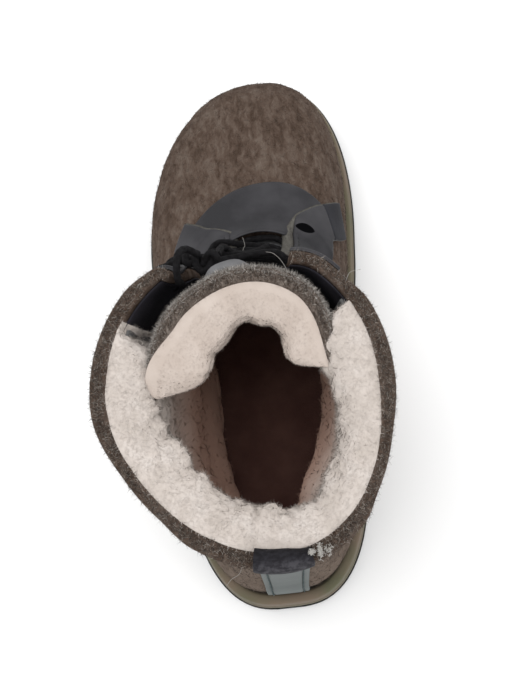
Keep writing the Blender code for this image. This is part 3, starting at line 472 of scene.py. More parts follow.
COLLAR_FRONT = 191.0
COLLAR_BACK = 188.0
FELT = 5.0
SECTION_COLUMNS = (
    "height", "back", "front", "widest", "lateral", "medial",
    "base_x", "back_x", "front_x", "back_power", "front_power", "waist",
)
SECTIONS = (
    (14, -133.0, 134.0, 46, 51.5, 50.0, -0.6, -1.0, 11.0, 2.90, 2.35, 0.20),
    (28, -137.0, 136.5, 46, 54.0, 52.5, -0.6, -1.0, 11.0, 2.90, 2.35, 0.18),
    (42, -138.5, 135.0, 42, 53.5, 51.5, -0.5, -1.0, 11.0, 2.85, 2.35, 0.15),
    (56, -137.5, 126.0, 30, 49.5, 47.5, -0.5, -1.0, 10.0, 2.75, 2.25, 0.09),
    (66, -135.5, 107.0, 5, 46.5, 45.0, -0.5, -0.8, 9.0, 2.60, 2.20, 0.03),
    (76, -133.0, 71.0, -30, 45.5, 44.5, -0.5, -0.6, 7.5, 2.45, 2.15, 0.0),
    (88, -130.5, 40.0, -48, 45.5, 44.5, -0.6, -0.4, 5.5, 2.30, 2.05, 0.0),
    (105, -128.0, 24.0, -55, 47.0, 46.0, -1.0, 0.0, 3.0, 2.15, 2.00, 0.0),
    (125, -126.5, 14.0, -57, 50.0, 49.0, -2.0, 0.5, 0.5, 2.05, 2.00, 0.0),
    (150, -126.0, 8.5, -58, 54.0, 52.5, -3.5, 1.5, -2.0, 2.00, 2.00, 0.0),
    (172, -126.0, 6.0, -58, 57.0, 55.5, -5.0, 2.5, -3.5, 1.95, 2.00, 0.0),
    (192, -126.5, 4.5, -58, 59.5, 58.0, -5.5, 3.0, -4.5, 1.95, 2.00, 0.0),
)
FEATHER_HEIGHT = 24.0
FEATHER_GAP = 0.5
THROAT_Y = 39.0
THROAT_HALF_LOW = 14.0
THROAT_HALF_HIGH = 25.0
ROWS_BELOW = 10
ROWS_ABOVE = 12
EYELET_CELLS = (-1, 1, 3, 5, 7, 9)
EYELET_PLACE = 10.0       # from the throat's edge to an eyelet's middle
SLIT_LONG = 2.1           # how the lowest medial eyelet is pulled: longer,
SLIT_FLAT = 1.2           # flatter,
SLIT_LEAN = 0.40          # leaning,
SLIT_RISE = 1.1           # up
SLIT_SHIFT = -0.9         # and inwards
SLIT_CLOSED = 1.5         # and how much smaller it is cut than the patch that shows it
FELT_DARK = (0.044, 0.028, 0.020)
FELT_MIDDLE = (0.083, 0.057, 0.044)
FELT_LIGHT = (0.134, 0.104, 0.085)
COLLAR_SWELL = 1.8        # how much fuller the felt is towards its loose upper edge
SWELL_NEARER = {1: 0.0, -1: 16.0}    # how much nearer to the throat it gets fuller
COLLAR_LEAN = 0.5         # how far it leans in at the lateral back
HEEL_TUCK = 3.0           # how far it is drawn in over the heel, where it meets the sole
FLAP_CURL = {1: (16.0, 0.45), -1: (10.5, 1.75)}    # length and turn of each flap's curled-in top corner
FELT_DUST = (0.22, 0.175, 0.142)
CREASES = (               # level, place round, half length, half width, depth, slant
    (0.30, 6.0, 46.0, 7.0, -0.9, 0.10),
    (0.345, -20.0, 30.0, 5.0, 0.5, 0.06),
    (0.33, 118.0, 34.0, 9.0, -1.3, -0.25),
    (0.40, 126.0, 30.0, 8.0, 0.8, -0.22),
    (0.33, -120.0, 34.0, 9.0, -1.3, 0.25),
    (0.41, -128.0, 30.0, 8.0, 0.8, 0.22),
    (0.42, 172.0, 26.0, 8.0, -0.9, -0.10),
    (0.42, -172.0, 26.0, 8.0, -0.9, 0.10),
    (0.72, -118.0, 26.0, 12.0, -1.0, 0.30),
    (0.78, 112.0, 24.0, 12.0, -0.9, -0.25),
)


def smooth_table(columns, rows, at):
    """Columns of a table at the places given, on a smooth curve that never overshoots its rows."""
    table = np.array(rows, float)
    knots = table[:, 0]
    values = table[:, 1:]
    step = np.diff(knots)[:, None]
    slope = np.diff(values, axis=0) / step
    turn = slope[:-1] * slope[1:]
    total = np.where(turn > 0, slope[:-1] + slope[1:], 1.0)
    tangent = np.vstack((slope[:1], np.where(turn > 0, 2 * turn / total, 0.0), slope[-1:]))
    at = np.clip(np.asarray(at, float), knots[0], knots[-1])
    cell = np.clip(np.searchsorted(knots, at, side="right") - 1, 0, len(knots) - 2)
    width = step[cell]
    t = (at - knots[cell])[..., None] / width
    found = ((1 + 2 * t) * (1 - t) ** 2 * values[cell] + t * (1 - t) ** 2 * width * tangent[cell]
             + t ** 2 * (3 - 2 * t) * values[cell + 1] + t ** 2 * (t - 1) * width * tangent[cell + 1])
    return dict(zip(columns[1:], np.moveaxis(found, -1, 0)))


FACE_FRONT = len(ROUND_ANGLES) // 2
FEATHER_SECTION = smooth_table(SECTION_COLUMNS, SECTIONS, np.full(len(ROUND_ANGLES), FEATHER_HEIGHT))
FEATHER = footbed(plan_curve(FEATHER_SECTION, ROUND_ANGLES)[1]) + FEATHER_GAP
COLLAR = COLLAR_BACK + (COLLAR_FRONT - COLLAR_BACK) * (0.5 + 0.5 * np.cos(ROUND_ANGLES))


def lengths_along(points):
    """Length from the first point to each point of a line."""
    return np.concatenate(([0.0], np.cumsum(np.linalg.norm(np.diff(points, axis=0), axis=1))))


def front_profile():
    """Heights up the middle of the front, with the share of the profile's length below each."""
    height = np.linspace(FEATHER[FACE_FRONT], COLLAR[FACE_FRONT], 800)
    y = plan_curve(smooth_table(SECTION_COLUMNS, SECTIONS, height), np.zeros(len(height)))[1]
    length = lengths_along(np.stack((height, y), axis=1))
    return length / length[-1], height, y, length[-1]


FRONT_SHARE, FRONT_HEIGHT, FRONT_Y, FRONT_LENGTH = front_profile()
INSTEP = FRONT_Y < SECTIONS[3][2]
THROAT_LEVEL = float(np.interp(-THROAT_Y, -FRONT_Y[INSTEP], FRONT_SHARE[INSTEP]))
UPPER_LEVELS = [THROAT_LEVEL * k / ROWS_BELOW for k in range(ROWS_BELOW)]
UPPER_LEVELS += [THROAT_LEVEL + (1 - THROAT_LEVEL) * k / ROWS_ABOVE for k in range(ROWS_ABOVE + 1)]
EYELET_LEVELS = [(UPPER_LEVELS[ROWS_BELOW + cell] + UPPER_LEVELS[ROWS_BELOW + cell + 1]) / 2
                 for cell in EYELET_CELLS]
SKIN_LEVELS = 221
SKIN_SHARES = 721


def skin_tables():
    """Places and normals of the felt's outer face by level and share of the way round, and half rounds."""
    place = np.empty((SKIN_LEVELS, SKIN_SHARES, 3))
    halves = np.empty((SKIN_LEVELS, 2))
    lean = 0.5 + 0.5 * np.cos(ROUND_ANGLES)
    low = FEATHER[FACE_FRONT]
    shares = np.linspace(-1, 1, SKIN_SHARES)
    for row, level in enumerate(np.linspace(0, 1, SKIN_LEVELS)):
        front = (np.interp(level, FRONT_SHARE, FRONT_HEIGHT) - low) / (COLLAR[FACE_FRONT] - low)
        height = FEATHER + (COLLAR - FEATHER) * ((1 - lean) * level + lean * front)
        x, y = plan_curve(smooth_table(SECTION_COLUMNS, SECTIONS, height), ROUND_ANGLES)
        points = np.stack((x, y, height), axis=1)
        length = lengths_along(points)
        length -= length[FACE_FRONT]
        halves[row] = -length[0], length[-1]
        wanted = np.where(shares < 0, shares * halves[row, 0], shares * halves[row, 1])
        for axis in range(3):
            place[row, :, axis] = np.interp(wanted, length, points[:, axis])
    rise = np.gradient(place, axis=0)
    run = np.gradient(place, axis=1)
    run[:, 0] = run[:, -1] = place[:, 1] - place[:, -2]
    normal = np.cross(rise, run)
    return place, normal / np.linalg.norm(normal, axis=-1, keepdims=True), halves


SKIN_PLACE, SKIN_NORMAL, HALF_ROUNDS = skin_tables()


def half_round(level, side):
    """Length from the toe's middle to the heel seam, on the medial (1) or lateral (-1) side."""
    row = np.clip(level, 0, 1) * (SKIN_LEVELS - 1)
    return np.interp(row, np.arange(SKIN_LEVELS), HALF_ROUNDS[:, 1 if side > 0 else 0])


def by_side(around, sizes):
    """Size of the medial (1) or lateral (-1) side at each place."""
    return np.where(around < 0, sizes[-1], sizes[1])


def half_at(level, around):
    """Length from the toe's middle to the heel seam, on the side of each place."""
    return by_side(around, {side: half_round(level, side) for side in (1, -1)})


def skin(level, around, lift):
    """Points at a distance outside (or, below 0, inside) the felt's outer face."""
    level, around, lift = np.broadcast_arrays(np.asarray(level, float), around, lift)
    row = np.clip(level, 0, 1) * (SKIN_LEVELS - 1)
    low = np.minimum(row.astype(int), SKIN_LEVELS - 2)
    up = (row - low)[..., None]
    lateral, medial = (half_round(level, side) for side in (-1, 1))
    around = (around + lateral) % (lateral + medial) - lateral
    column = (np.where(around < 0, around / lateral, around / medial) + 1) / 2 * (SKIN_SHARES - 1)
    left = np.clip(column.astype(int), 0, SKIN_SHARES - 2)
    over = (column - left)[..., None]

    def read(table):
        return ((1 - up) * ((1 - over) * table[low, left] + over * table[low, left + 1])
                + up * ((1 - over) * table[low + 1, left] + over * table[low + 1, left + 1]))

    return read(SKIN_PLACE) + read(SKIN_NORMAL) * lift[..., None]


def throat_half(level):
    share = np.clip((np.asarray(level, float) - THROAT_LEVEL) / (1 - THROAT_LEVEL), 0.0, 1.0)
    return THROAT_HALF_LOW + (THROAT_HALF_HIGH - THROAT_HALF_LOW) * share


def lumps(points, size, seed, waves=14):
    """Soft random relief from about -1 to 1, with a wavelength of about the size given."""
    rng = np.random.default_rng(seed)
    ways = rng.normal(size=(waves, 3))
    ways *= (2 * math.pi / size) * rng.uniform(0.7, 1.4, (waves, 1)) / np.linalg.norm(ways, axis=1)[:, None]
    phases = rng.uniform(0, 2 * math.pi, waves)
    return np.sin(points @ ways.T + phases).sum(axis=-1) / math.sqrt(waves)


def creases(level, around):
    """Height of the soft troughs and ridges where the felt has bent."""
    height = np.zeros(np.broadcast(level, around).shape)
    for at, place, long, wide, depth, slant in CREASES:
        run = around - place
        off = (level - at) * FRONT_LENGTH - slant * run
        height += depth * np.exp(-(run / long) ** 2 - (off / wide) ** 2)
    return height


def fullness(level, around):
    """Height of the felt's fuller collar and of its hollow over the heel."""
    half = half_at(level, around)
    past = np.abs(around) - throat_half(level) + by_side(around, SWELL_NEARER)
    way = np.abs(around) / half
    flat = smoothstep(0.5, 0.64, way) * (1 - smoothstep(0.74, 0.82, way)) + smoothstep(0.92, 0.97, way)
    swell = smoothstep(0.74, 0.96, level) * smoothstep(24.0, 40.0, past) * (1 - flat)
    tuck = np.exp(-((half - np.abs(around)) / 34.0) ** 2) * (1 - smoothstep(0.12, 0.5, level))
    return COLLAR_SWELL * swell - HEEL_TUCK * tuck


def lean_in(level, around):
    """Depth by which the shaft leans in at the lateral back of the collar."""
    way = around / half_at(level, around)
    place = np.exp(-((way + 0.66) / 0.1) ** 2) * (1 - smoothstep(0.88, 1.0, np.abs(way)))
    return COLLAR_LEAN * smoothstep(0.6, 0.98, level) * place


def flap_curl(level, around, lift):
    """Place round and lift of points on a flap once its top corner has curled in."""
    level, around, lift = np.broadcast_arrays(np.asarray(level, float), around, lift)
    for side, (length, most) in FLAP_CURL.items():
        past = side * around - throat_half(level)
        short = np.where(past > -1e-6, np.clip(length - past, 0.0, None), 0.0)
        radius = length / (most * smoothstep(0.86, 0.99, level) + 1e-6)
        angle = short / radius
        along = short - (radius + lift) * np.sin(angle)
        bent = radius - (radius + lift) * np.cos(angle)
        around = np.where(short > 0, around + side * along, around)
        lift = np.where(short > 0, -bent, lift)
    return around, lift


def in_eyelet(level, around, side, radius):
    """Which places lie in a lace hole; the lowest is a slit on the medial side and closed on the other."""
    hole = np.zeros(level.shape, bool)
    for number, eyelet in enumerate(EYELET_LEVELS):
        if side < 0 and number == 0:
            continue
        off = (level - eyelet) * FRONT_LENGTH
        run = side * around - throat_half(eyelet) - EYELET_PLACE
        if side > 0 and number == 0:
            run = run - SLIT_SHIFT
            off = SLIT_CLOSED * SLIT_FLAT * (off + SLIT_LEAN * run - SLIT_RISE)
            run = SLIT_CLOSED * run / SLIT_LONG
        hole |= off ** 2 + run ** 2 < radius ** 2
    return hole


def round_columns(levels, near, far, inside, bunch):
    """Places round the boot for each level: from the medial throat edge round the heel, then the throat."""
    half = throat_half(levels)[:, None]
    shares = np.arange(1, far + 1) / far
    shares = shares - bunch * np.sin(2 * math.pi * shares) / (2 * math.pi)
    near = np.asarray(near, float)
    sides = []
    for side in (1, -1):
        start = half + near[-1]
        rest = half_round(levels, side)[:, None] - start
        sides.append(np.concatenate((half + near, start + rest * shares), axis=1))
    middle = (half + near[0]) * np.linspace(-1, 1, inside + 2)[1:-1]
    return np.concatenate((sides[0], -sides[1][:, -2::-1], middle), axis=1)


def make_wool_group():
    """Felted wool: long streaks of light and dark fibre, fine specks, and the height of the nap."""
    group, given, put = new_group("felted_wool", (
        ("Place", "NodeSocketVector", None), ("Streaks", "NodeSocketFloat", 1.0),
    ), ("Mottle", "Specks", "Nap"))
    stretched = add_node(group, "ShaderNodeMapping", {
        "Vector": given.outputs["Place"], "Scale": (1.0, 0.42, 0.55)})
    scaled = add_node(group, "ShaderNodeVectorMath", {0: stretched.outputs["Vector"]}, operation="SCALE")
    group.links.new(given.outputs["Streaks"], scaled.inputs["Scale"])
    place = scaled.outputs["Vector"]
    streak = add_noise(group, place, 300.0, 3.5, Roughness=0.55, Distortion=0.5)
    broad = add_noise(group, place, 70.0, 3.0)
    fine = add_noise(group, place, 1500.0, 3.0, Distortion=1.2)
    group.links.new(fine, put.inputs["Specks"])
    for share, other, mark in ((0.3, broad, "Mottle"), (0.6, fine, "Nap")):
        mixed = add_node(group, "ShaderNodeMix", {"Factor": share, "A": streak, "B": other})
        group.links.new(mixed.outputs["Result"], put.inputs[mark])
    return group


WOOL = make_wool_group()


def make_felt(name, dark, middle, light, streaks=1.0, specks=0.22):
    finish, tree, shader = new_finish(name, 0.95, specular=0.05)
    wool = place_group(tree, WOOL, {"Place": object_place(tree), "Streaks": streaks})
    tone = tone_ramp(tree, wool.outputs["Mottle"], ((0.37, dark), (0.5, middle), (0.66, light)))
    speck = tone_ramp(tree, wool.outputs["Specks"], ((0.36, dark), (0.64, light)))
    tree.links.new(mix_tones(tree, specks, tone, speck), shader.inputs["Base Color"])
    add_bump(tree, shader, wool.outputs["Nap"], 0.7, 0.7)
    return finish


def make_fibre_finish(name, *stops):
    """Loose fibres, each of its own shade between the stops."""
    finish, tree, shader = new_finish(name, 0.9, sheen=0.1, specular=0.15)
    island = add_node(tree, "ShaderNodeNewGeometry").outputs["Random Per Island"]
    tree.links.new(tone_ramp(tree, island, stops), shader.inputs["Base Color"])
    return finish


def scatter(grid, count, rng, keep=None, ring=False):
    """Random places on a grid of points, evenly by area, with the normals of its cells."""
    cells = grid_cells(grid, keep, ring)
    normal = np.cross(cells[:, 3] - cells[:, 0], cells[:, 1] - cells[:, 0])
    area = np.linalg.norm(normal, axis=1)
    chosen = rng.choice(len(cells), count, p=area / area.sum())
    u, v = rng.uniform(size=(2, count, 1))
    a, b, c, d = (cells[chosen, k] for k in range(4))
    places = a * (1 - u) * (1 - v) + b * u * (1 - v) + c * u * v + d * (1 - u) * v
    return places, normal[chosen] / area[chosen][:, None]


def unit(vectors):
    return vectors / np.linalg.norm(vectors, axis=-1, keepdims=True)


FIBRE_POINTS = 5          # a ribbon's two corners at its root, two at its bend, and its tip
FIBRE_FACES = np.array(((0, 1, 3), (0, 3, 2), (2, 3, 4)))


def fibres(name, roots, normals, length, width, rng, finish, lean, curl, soft=0.0):
    """Joined mesh of thin bent ribbons on their roots; soft ones take the light like what is under them."""
    count = len(roots)
    side = unit(np.cross(normals, rng.normal(size=(count, 3))))
    way = unit(normals * (1 - lean) + side * lean)
    bend = unit(np.cross(way, rng.normal(size=(count, 3)))) * curl
    long = (length * rng.uniform(0.55, 1.25, count))[:, None, None]
    t = np.linspace(0, 1, 3)[None, :, None]
    spine = roots[:, None] + long * (way[:, None] * t + bend[:, None] * t ** 2)
    flat = unit(np.cross(way, rng.normal(size=(count, 3))))
    flat = np.where((np.cross(way, flat) * normals).sum(axis=-1, keepdims=True) > 0, -flat, flat)[:, None]
    half = width * rng.uniform(0.7, 1.3, (count, 1, 1)) * (1 - 0.55 * t[:, :-1]) / 2
    edges = np.stack((spine[:, :-1] - flat * half, spine[:, :-1] + flat * half), axis=2)
    points = np.concatenate((edges.reshape(count, -1, 3), spine[:, -1:]), axis=1).reshape(-1, 3)
    faces = (np.arange(count)[:, None, None] * FIBRE_POINTS + FIBRE_FACES).reshape(-1, 3)
    made = add_mesh(name, points, faces, finish, closed=False)
    if soft:
        shading = np.repeat(unit(normals + (0.0, 0.0, soft)), FIBRE_POINTS, axis=0)
        made.data.normals_split_custom_set_from_vertices(shading)
    return made


def rounded(distance, run):
    """Depth by which a cut edge of felt is rounded over, at a distance from it."""
    return EDGE_ROUND * (1 - np.sqrt(np.clip(1 - np.clip(1 - distance / run, 0, 1) ** 2, 0, 1)))


def top_rim(outer, inner):
    """Narrow grid over the top edge of a felt wall."""
    top, under = outer[-1], inner[-1]
    return np.stack((outer[-2], top * 0.7 + under * 0.3, top * 0.3 + under * 0.7, inner[-2]))


UPPER_NEAR = np.concatenate(((0.0, 0.9, 2.4), np.linspace(4.5, 31.0, 15)))
UPPER_FAR = 112
UPPER_INSIDE = 13
EDGE_ROUND = 1.0
FAR_OFF = 99.0            # stands for any distance at which an edge no longer matters
FELT_HOLE = 3.0           # radius of the holes in the felt behind the eyelets
DUST_BACK = (-0.085, -0.125)    # metres along and up, between which the dust over the heel comes in
DUST_DOWN = (0.178, 0.145)
DUST_MOST = 0.45


def upper_grids():
    """Outer and inner grid of the felt wall, and which of its cells are there."""
    below = np.linspace(0, THROAT_LEVEL, 58)
    above = np.linspace(THROAT_LEVEL, 1 - 2.5 / FRONT_LENGTH, 60)[1:]
    levels = np.concatenate((below, above, (1 - 1.0 / FRONT_LENGTH, 1 - 0.3 / FRONT_LENGTH, 1.0)))
    slot_row = len(below) - 1
    around = round_columns(levels, UPPER_NEAR, UPPER_FAR, UPPER_INSIDE, 0.4)
    level = np.broadcast_to(levels[:, None], around.shape)
    from_top = (1 - level) * FRONT_LENGTH
    from_edge = np.where(level > THROAT_LEVEL, np.abs(around) - throat_half(level), FAR_OFF)
    near_edge = np.minimum(from_top, np.where(from_edge < 0, FAR_OFF, from_edge))
    rounding = rounded(near_edge, 1.6)
    plain = skin(level, around, 0.0)
    relief = 0.10 * lumps(plain, 13.0, 3) + 0.10 * lumps(plain, 5.0, 4) + creases(level, around)
    leant = lean_in(level, around)
    relief = relief * smoothstep(0, 6, from_top) + fullness(level, around) - leant
    outer = skin(level, *flap_curl(level, around, relief - rounding))
    inner = skin(level, *flap_curl(level, around, -FELT + rounding - leant))
    columns = around.shape[1]
    keep = np.ones((len(levels) - 1, columns), bool)
    keep[slot_row:, columns - UPPER_INSIDE - 1:] = False
    middle = (around + np.roll(around, -1, axis=1))[:-1] / 2
    between = np.broadcast_to((levels[:-1, None] + levels[1:, None]) / 2, middle.shape)
    for side in (1, -1):
        keep &= ~in_eyelet(between, middle, side, FELT_HOLE)
    return outer, inner, keep


FELT_OUTER, FELT_INNER, FELT_KEEP = upper_grids()


def make_upper():
    felt = make_felt("upper_felt", FELT_DARK, FELT_MIDDLE, FELT_LIGHT)
    tree = felt.node_tree
    colour = tree.nodes["Principled BSDF"].inputs["Base Color"]
    parts = add_node(tree, "ShaderNodeSeparateXYZ", {"Vector": object_place(tree)})
    back = add_node(tree, "ShaderNodeMapRange", {
        "Value": parts.outputs["Y"], "From Min": DUST_BACK[0], "From Max": DUST_BACK[1], "To Max": DUST_MOST})
    down = add_node(tree, "ShaderNodeMapRange", {
        "Value": parts.outputs["Z"], "From Min": DUST_DOWN[0], "From Max": DUST_DOWN[1]})
    dusty = add_node(tree, "ShaderNodeMath", {
        0: back.outputs["Result"], 1: down.outputs["Result"]}, operation="MULTIPLY")
    untinted = colour.links[0].from_socket
    tree.links.new(mix_tones(tree, dusty.outputs["Value"], untinted, (*FELT_DUST, 1.0)), colour)
    made = add_mesh("upper_felt_wall", *wall(FELT_OUTER, FELT_INNER, FELT_KEEP, ring=True), felt)
    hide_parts("upper")


make_upper()
FLAT_FIBRE = make_fibre_finish(
    "flat_wool", (0.0, (0.030, 0.020, 0.014)), (0.55, (0.072, 0.051, 0.039)), (1.0, (0.14, 0.112, 0.092)))
WOOL_FIBRE = make_fibre_finish(
    "loose_wool", (0.0, (0.016, 0.011, 0.008)), (0.5, (0.058, 0.042, 0.033)), (0.8, (0.16, 0.132, 0.11)),
    (1.0, (0.42, 0.385, 0.345)))


def make_upper_fuzz():
    rng = np.random.default_rng(11)
    roots, normals = scatter(FELT_OUTER, 26000, rng, FELT_KEEP, ring=True)
    nap = fibres("upper_felt_nap", roots, normals, 2.3, 0.16, rng, FLAT_FIBRE, lean=0.82, curl=0.5)
    columns = FELT_OUTER.shape[1] - UPPER_INSIDE
    roots, normals = scatter(top_rim(FELT_OUTER[:, :columns], FELT_INNER[:, :columns]), 12000, rng)
    edge = fibres("collar_edge_nap", roots, normals, 1.9, 0.17, rng, WOOL_FIBRE, lean=0.55, curl=0.8)


make_upper_fuzz()

# Fleece lining: off-white pile knitted on a cloth back, glued inside the felt from the sole to the collar.
# It ends behind the flaps' facings, and its locks roll over in a thick soft ring at the collar.

TAB_REACH = {1: 34.5, -1: 39.5}    # from the throat's edge to the pile, inside each flap
LINING_SLOT = UPPER_LEVELS[ROWS_BELOW - 2]
LINING_TOP = 0.992
PILE_GAP = 0.8
PILE_COLUMNS = ("level", "depth")
PILE_DEPTH = ((0.0, 6.5), (0.25, 7.0), (0.5, 9.0), (0.76, 9.5), (0.86, 12.5), (0.94, 16.0), (1.0, 15.5))
PILE_SWELL = (            # level and its half width, share of the way to the heel and its half width, height
    (0.08, 0.20, -0.58, 0.28, 11.0), (0.95, 0.10, 0.64, 0.14, -3.0), (0.94, 0.12, 0.83, 0.12, -4.0),
    (0.45, 0.25, 0.78, 0.18, 12.0), (0.10, 0.25, -0.86, 0.12, 9.0), (0.98, 0.06, 0.38, 0.10, 6.0),
)
PILE_EDGE = 0.1
PILE_EDGE_RUN = {1: 7.0, -1: 15.0}
PILE_SHOULDER = 0.925     # level from which the pile rolls over to the collar
PILE_SHADE = (0.462, 0.413, 0.374)
PILE_CREAM = (0.51, 0.458, 0.42)
PILE_LIGHT = (0.56, 0.513, 0.478)
PILE_PAINTED_SHADE = (0.36, 0.235, 0.185)      # painted shade, down in the foot
FLEECE_NEAR = np.array((0, 0.5, 1.4, 3, 5, 7.5, 10))
FLEECE_FAR = 118
FLEECE_INSIDE = 26
LOCK_ROW = 78             # row of the pile from which its locks are the collar's


def billow(points, size, seed):
    """Puffs from 0 to about 1 with creased valleys between them."""
    return np.clip(np.abs(lumps(points, size * 2, seed)), 0, 1.4) ** 0.75


def make_depth_group():
    """How deep down in the boot a place is, from 0 at the collar to 1 on the footbed, for painting shade
    there.
    """
    group, given, put = new_group("pile_depth", (
        ("Place", "NodeSocketVector", None), ("Unshaded Height", "NodeSocketFloat", 0.16),
        ("Deep Height", "NodeSocketFloat", 0.07),
    ), ("Depth",))
    parts = add_node(group, "ShaderNodeSeparateXYZ", {"Vector": given.outputs["Place"]})
    depth = add_node(group, "ShaderNodeMapRange", {
        "Value": parts.outputs["Z"], "From Min": given.outputs["Unshaded Height"],
        "From Max": given.outputs["Deep Height"]}, interpolation_type="SMOOTHSTEP")
    group.links.new(depth.outputs["Result"], put.inputs["Depth"])
    return group


PILE_SHADE_DEPTH = make_depth_group()


def paint_shade_by_depth(tree, shader, tone, untinted, deep):
    """Paints shade into a tone of the pile, darkening it between two heights down in the boot."""
    depth = place_group(tree, PILE_SHADE_DEPTH, {
        "Place": object_place(tree), "Unshaded Height": untinted, "Deep Height": deep})
    mixed = mix_tones(tree, depth.outputs["Depth"], tone, (*PILE_PAINTED_SHADE, 1.0))
    tree.links.new(mixed, shader.inputs["Base Color"])


def make_pile(name, tones, untinted, deep):
    """Finish of the pile's body and that of its fibres, both with shade painted in between the two heights
    given.
    """
    body, tree, shader = new_finish(name, 0.95, sheen=0.15, specular=0.05)
    patches, specks = place_speckle(tree, 110.0, 900.0)
    paint_shade_by_depth(tree, shader, tone_ramp(tree, patches, tuple(zip((0.34, 0.52, 0.7), tones))), untinted, deep)
    add_bump(tree, shader, specks, 0.35, 0.6)
    fibre, tree, shader = new_finish(name + "_fibre", 0.95, sheen=0.15, specular=0.05)
    island = add_node(tree, "ShaderNodeNewGeometry").outputs["Random Per Island"]
    paint_shade_by_depth(tree, shader, tone_ramp(tree, island, tuple(zip((0.0, 0.5, 1.0), tones))), untinted, deep)
    return body, fibre


def pile_grids():
    """Back and face of the lining, and which of its cells are there."""
    below = np.linspace(UPPER_LEVELS[1], LINING_SLOT, 46)
    shaft = np.linspace(LINING_SLOT, PILE_SHOULDER, 62)[1:]
    shoulder = PILE_SHOULDER + (LINING_TOP - PILE_SHOULDER) * np.sin(np.linspace(0, 0.5 * math.pi, 15))[1:]
    levels = np.concatenate((below, shaft, shoulder))
    around = round_columns(levels, TAB_REACH[1] + FLEECE_NEAR, FLEECE_FAR, FLEECE_INSIDE, 0.3)
    level = np.broadcast_to(levels[:, None], around.shape)
    full = smooth_table(PILE_COLUMNS, PILE_DEPTH, level)["depth"]
    behind = np.abs(around) - throat_half(level) - by_side(around, TAB_REACH)
    half = half_at(level, around)
    for at, tall, way, wide, height in PILE_SWELL:
        full = full + height * np.exp(-((level - at) / tall) ** 2 - ((around / half - way) / wide) ** 2)
    short = 1 - np.clip(behind / by_side(around, PILE_EDGE_RUN), 0, 1)
    thin = PILE_EDGE + (1 - PILE_EDGE) * np.sqrt(1 - short ** 2)
    edge = 1 + (thin - 1) * smoothstep(LINING_SLOT - 0.06, LINING_SLOT, level)
    roll = np.clip((level - PILE_SHOULDER) / (LINING_TOP - PILE_SHOULDER), 0, 1)
    back = -FELT - PILE_GAP - lean_in(level, around) + (PILE_GAP + 0.7) * roll ** 2
    bed = skin(level, around, back)
    puff = 2.8 * billow(bed, 13.0, 21) + 0.9 * billow(bed, 5.0, 22)
    puff = puff * (0.35 + 0.65 * smoothstep(0.68, 0.88, level))
    depth = (full + puff - 1.2) * edge * np.sqrt(1 - 0.999 * roll ** 2)
    face = skin(level, around, back - depth)
    face[..., 2] += roll * (0.8 + 1.5 * billow(bed, 9.0, 23))
    keep = np.ones((len(levels) - 1, around.shape[1]), bool)
    keep[len(below) - 1:, around.shape[1] - FLEECE_INSIDE - 1:] = False
    return bed, face, keep


PILE_BED, PILE_FACE, PILE_KEEP = pile_grids()
FLEECE, FLEECE_FIBRE = make_pile("fleece_pile", (PILE_SHADE, PILE_CREAM, PILE_LIGHT), 0.172, 0.095)


def light_within(made, soft):
    """Turns a pile's shading upwards, as light sinks into it from above."""
    normals = np.empty(len(made.data.vertices) * 3)
    made.data.vertices.foreach_get("normal", normals)
    normals = unit(normals.reshape(-1, 3) + (0.0, 0.0, soft))
    made.data.normals_split_custom_set_from_vertices(normals)


def make_lining():
    made = add_mesh("fleece_lining_pile", *wall(PILE_BED, PILE_FACE, PILE_KEEP, ring=True), FLEECE)
    light_within(made, 0.6)
    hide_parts("fleece_lining")
    rng = np.random.default_rng(31)
    facing = PILE_FACE[:, ::-1]
    keep = np.roll(PILE_KEEP[:, ::-1], -1, axis=1)
    collar = (np.arange(len(keep)) >= LOCK_ROW)[:, None]
    for name, rows, count, width, lean, curl, soft in (
            ("fleece_collar_locks", collar, 60000, 0.17, 0.85, 0.8, 0.6),
            ("fleece_foot_locks", ~collar, 12000, 0.28, 0.92, 0.9, 1.2)):
        roots, normals = scatter(facing, count, rng, keep & rows, ring=True)
        locks = fibres(name, roots, normals, 1.8, width, rng, FLEECE_FIBRE, lean, curl, soft)


make_lining()

# Flap facings: soft black cloth over thin padding, sewn inside each flap from its edge to the pile.
# A strip of grey tape closes the joint where facing and pile meet.

FACING_BLACK = (0.012, 0.011, 0.0145)
FACING_WORN = (0.026, 0.024, 0.031)
JOINT_DARK = (0.10, 0.10, 0.10)
JOINT_GREY = (0.16, 0.16, 0.16)


def make_facing_cloth(name, dark, worn):
    return make_speckled(name, 0.85, 0.15, (70.0, 1400.0), ((0.4, dark), (0.7, worn)), (0.5, 0.25))


def flap_strip(side, first, last, thick, low, high, puff, columns=26):
    """Sheet inside a flap, between two distances from the throat's edge."""
    levels = np.linspace(low, high, 70)[:, None]
    offset = np.linspace(first, last, columns)[None, :]
    around = side * (throat_half(levels) + offset)
    share = (offset - first) / (last - first)
    swell = puff * np.sin(math.pi * share) ** 0.6 * smoothstep(high, high - 0.02, levels)
    bed = skin(levels, *flap_curl(levels, around, -FELT - GAP))
    swell = swell * (0.75 + 0.25 * lumps(bed, 22.0, 41))
    return bed, skin(levels, *flap_curl(levels, around, -FELT - GAP - thick - swell))


def make_facings():
    cloth = make_facing_cloth("facing_cloth", FACING_BLACK, FACING_WORN)
    tape = make_facing_cloth("joint_tape", JOINT_DARK, JOINT_GREY)
    for side, word in ((1, "medial"), (-1, "lateral")):
        joint = TAB_REACH[side]
        bed, face = flap_strip(side, 0.3, joint + 1.0, 0.5, LINING_SLOT + 0.02, 0.985, 0.8)
        made = add_mesh(f"flap_facing_{word}", *wall(bed, face), cloth)
        bed, face = flap_strip(side, joint - 3.0, joint + 4.0, 1.6, LINING_SLOT + 0.03, 0.978, 1.0, 8)
        made = add_mesh(f"flap_tape_{word}", *wall(bed, face), tape)


make_facings()

# Tongue: a felt sheet sewn in at the throat's foot and standing up behind the laces.
# Its inside is pile on a smooth hide, and thin grey leather faces its front below the collar.

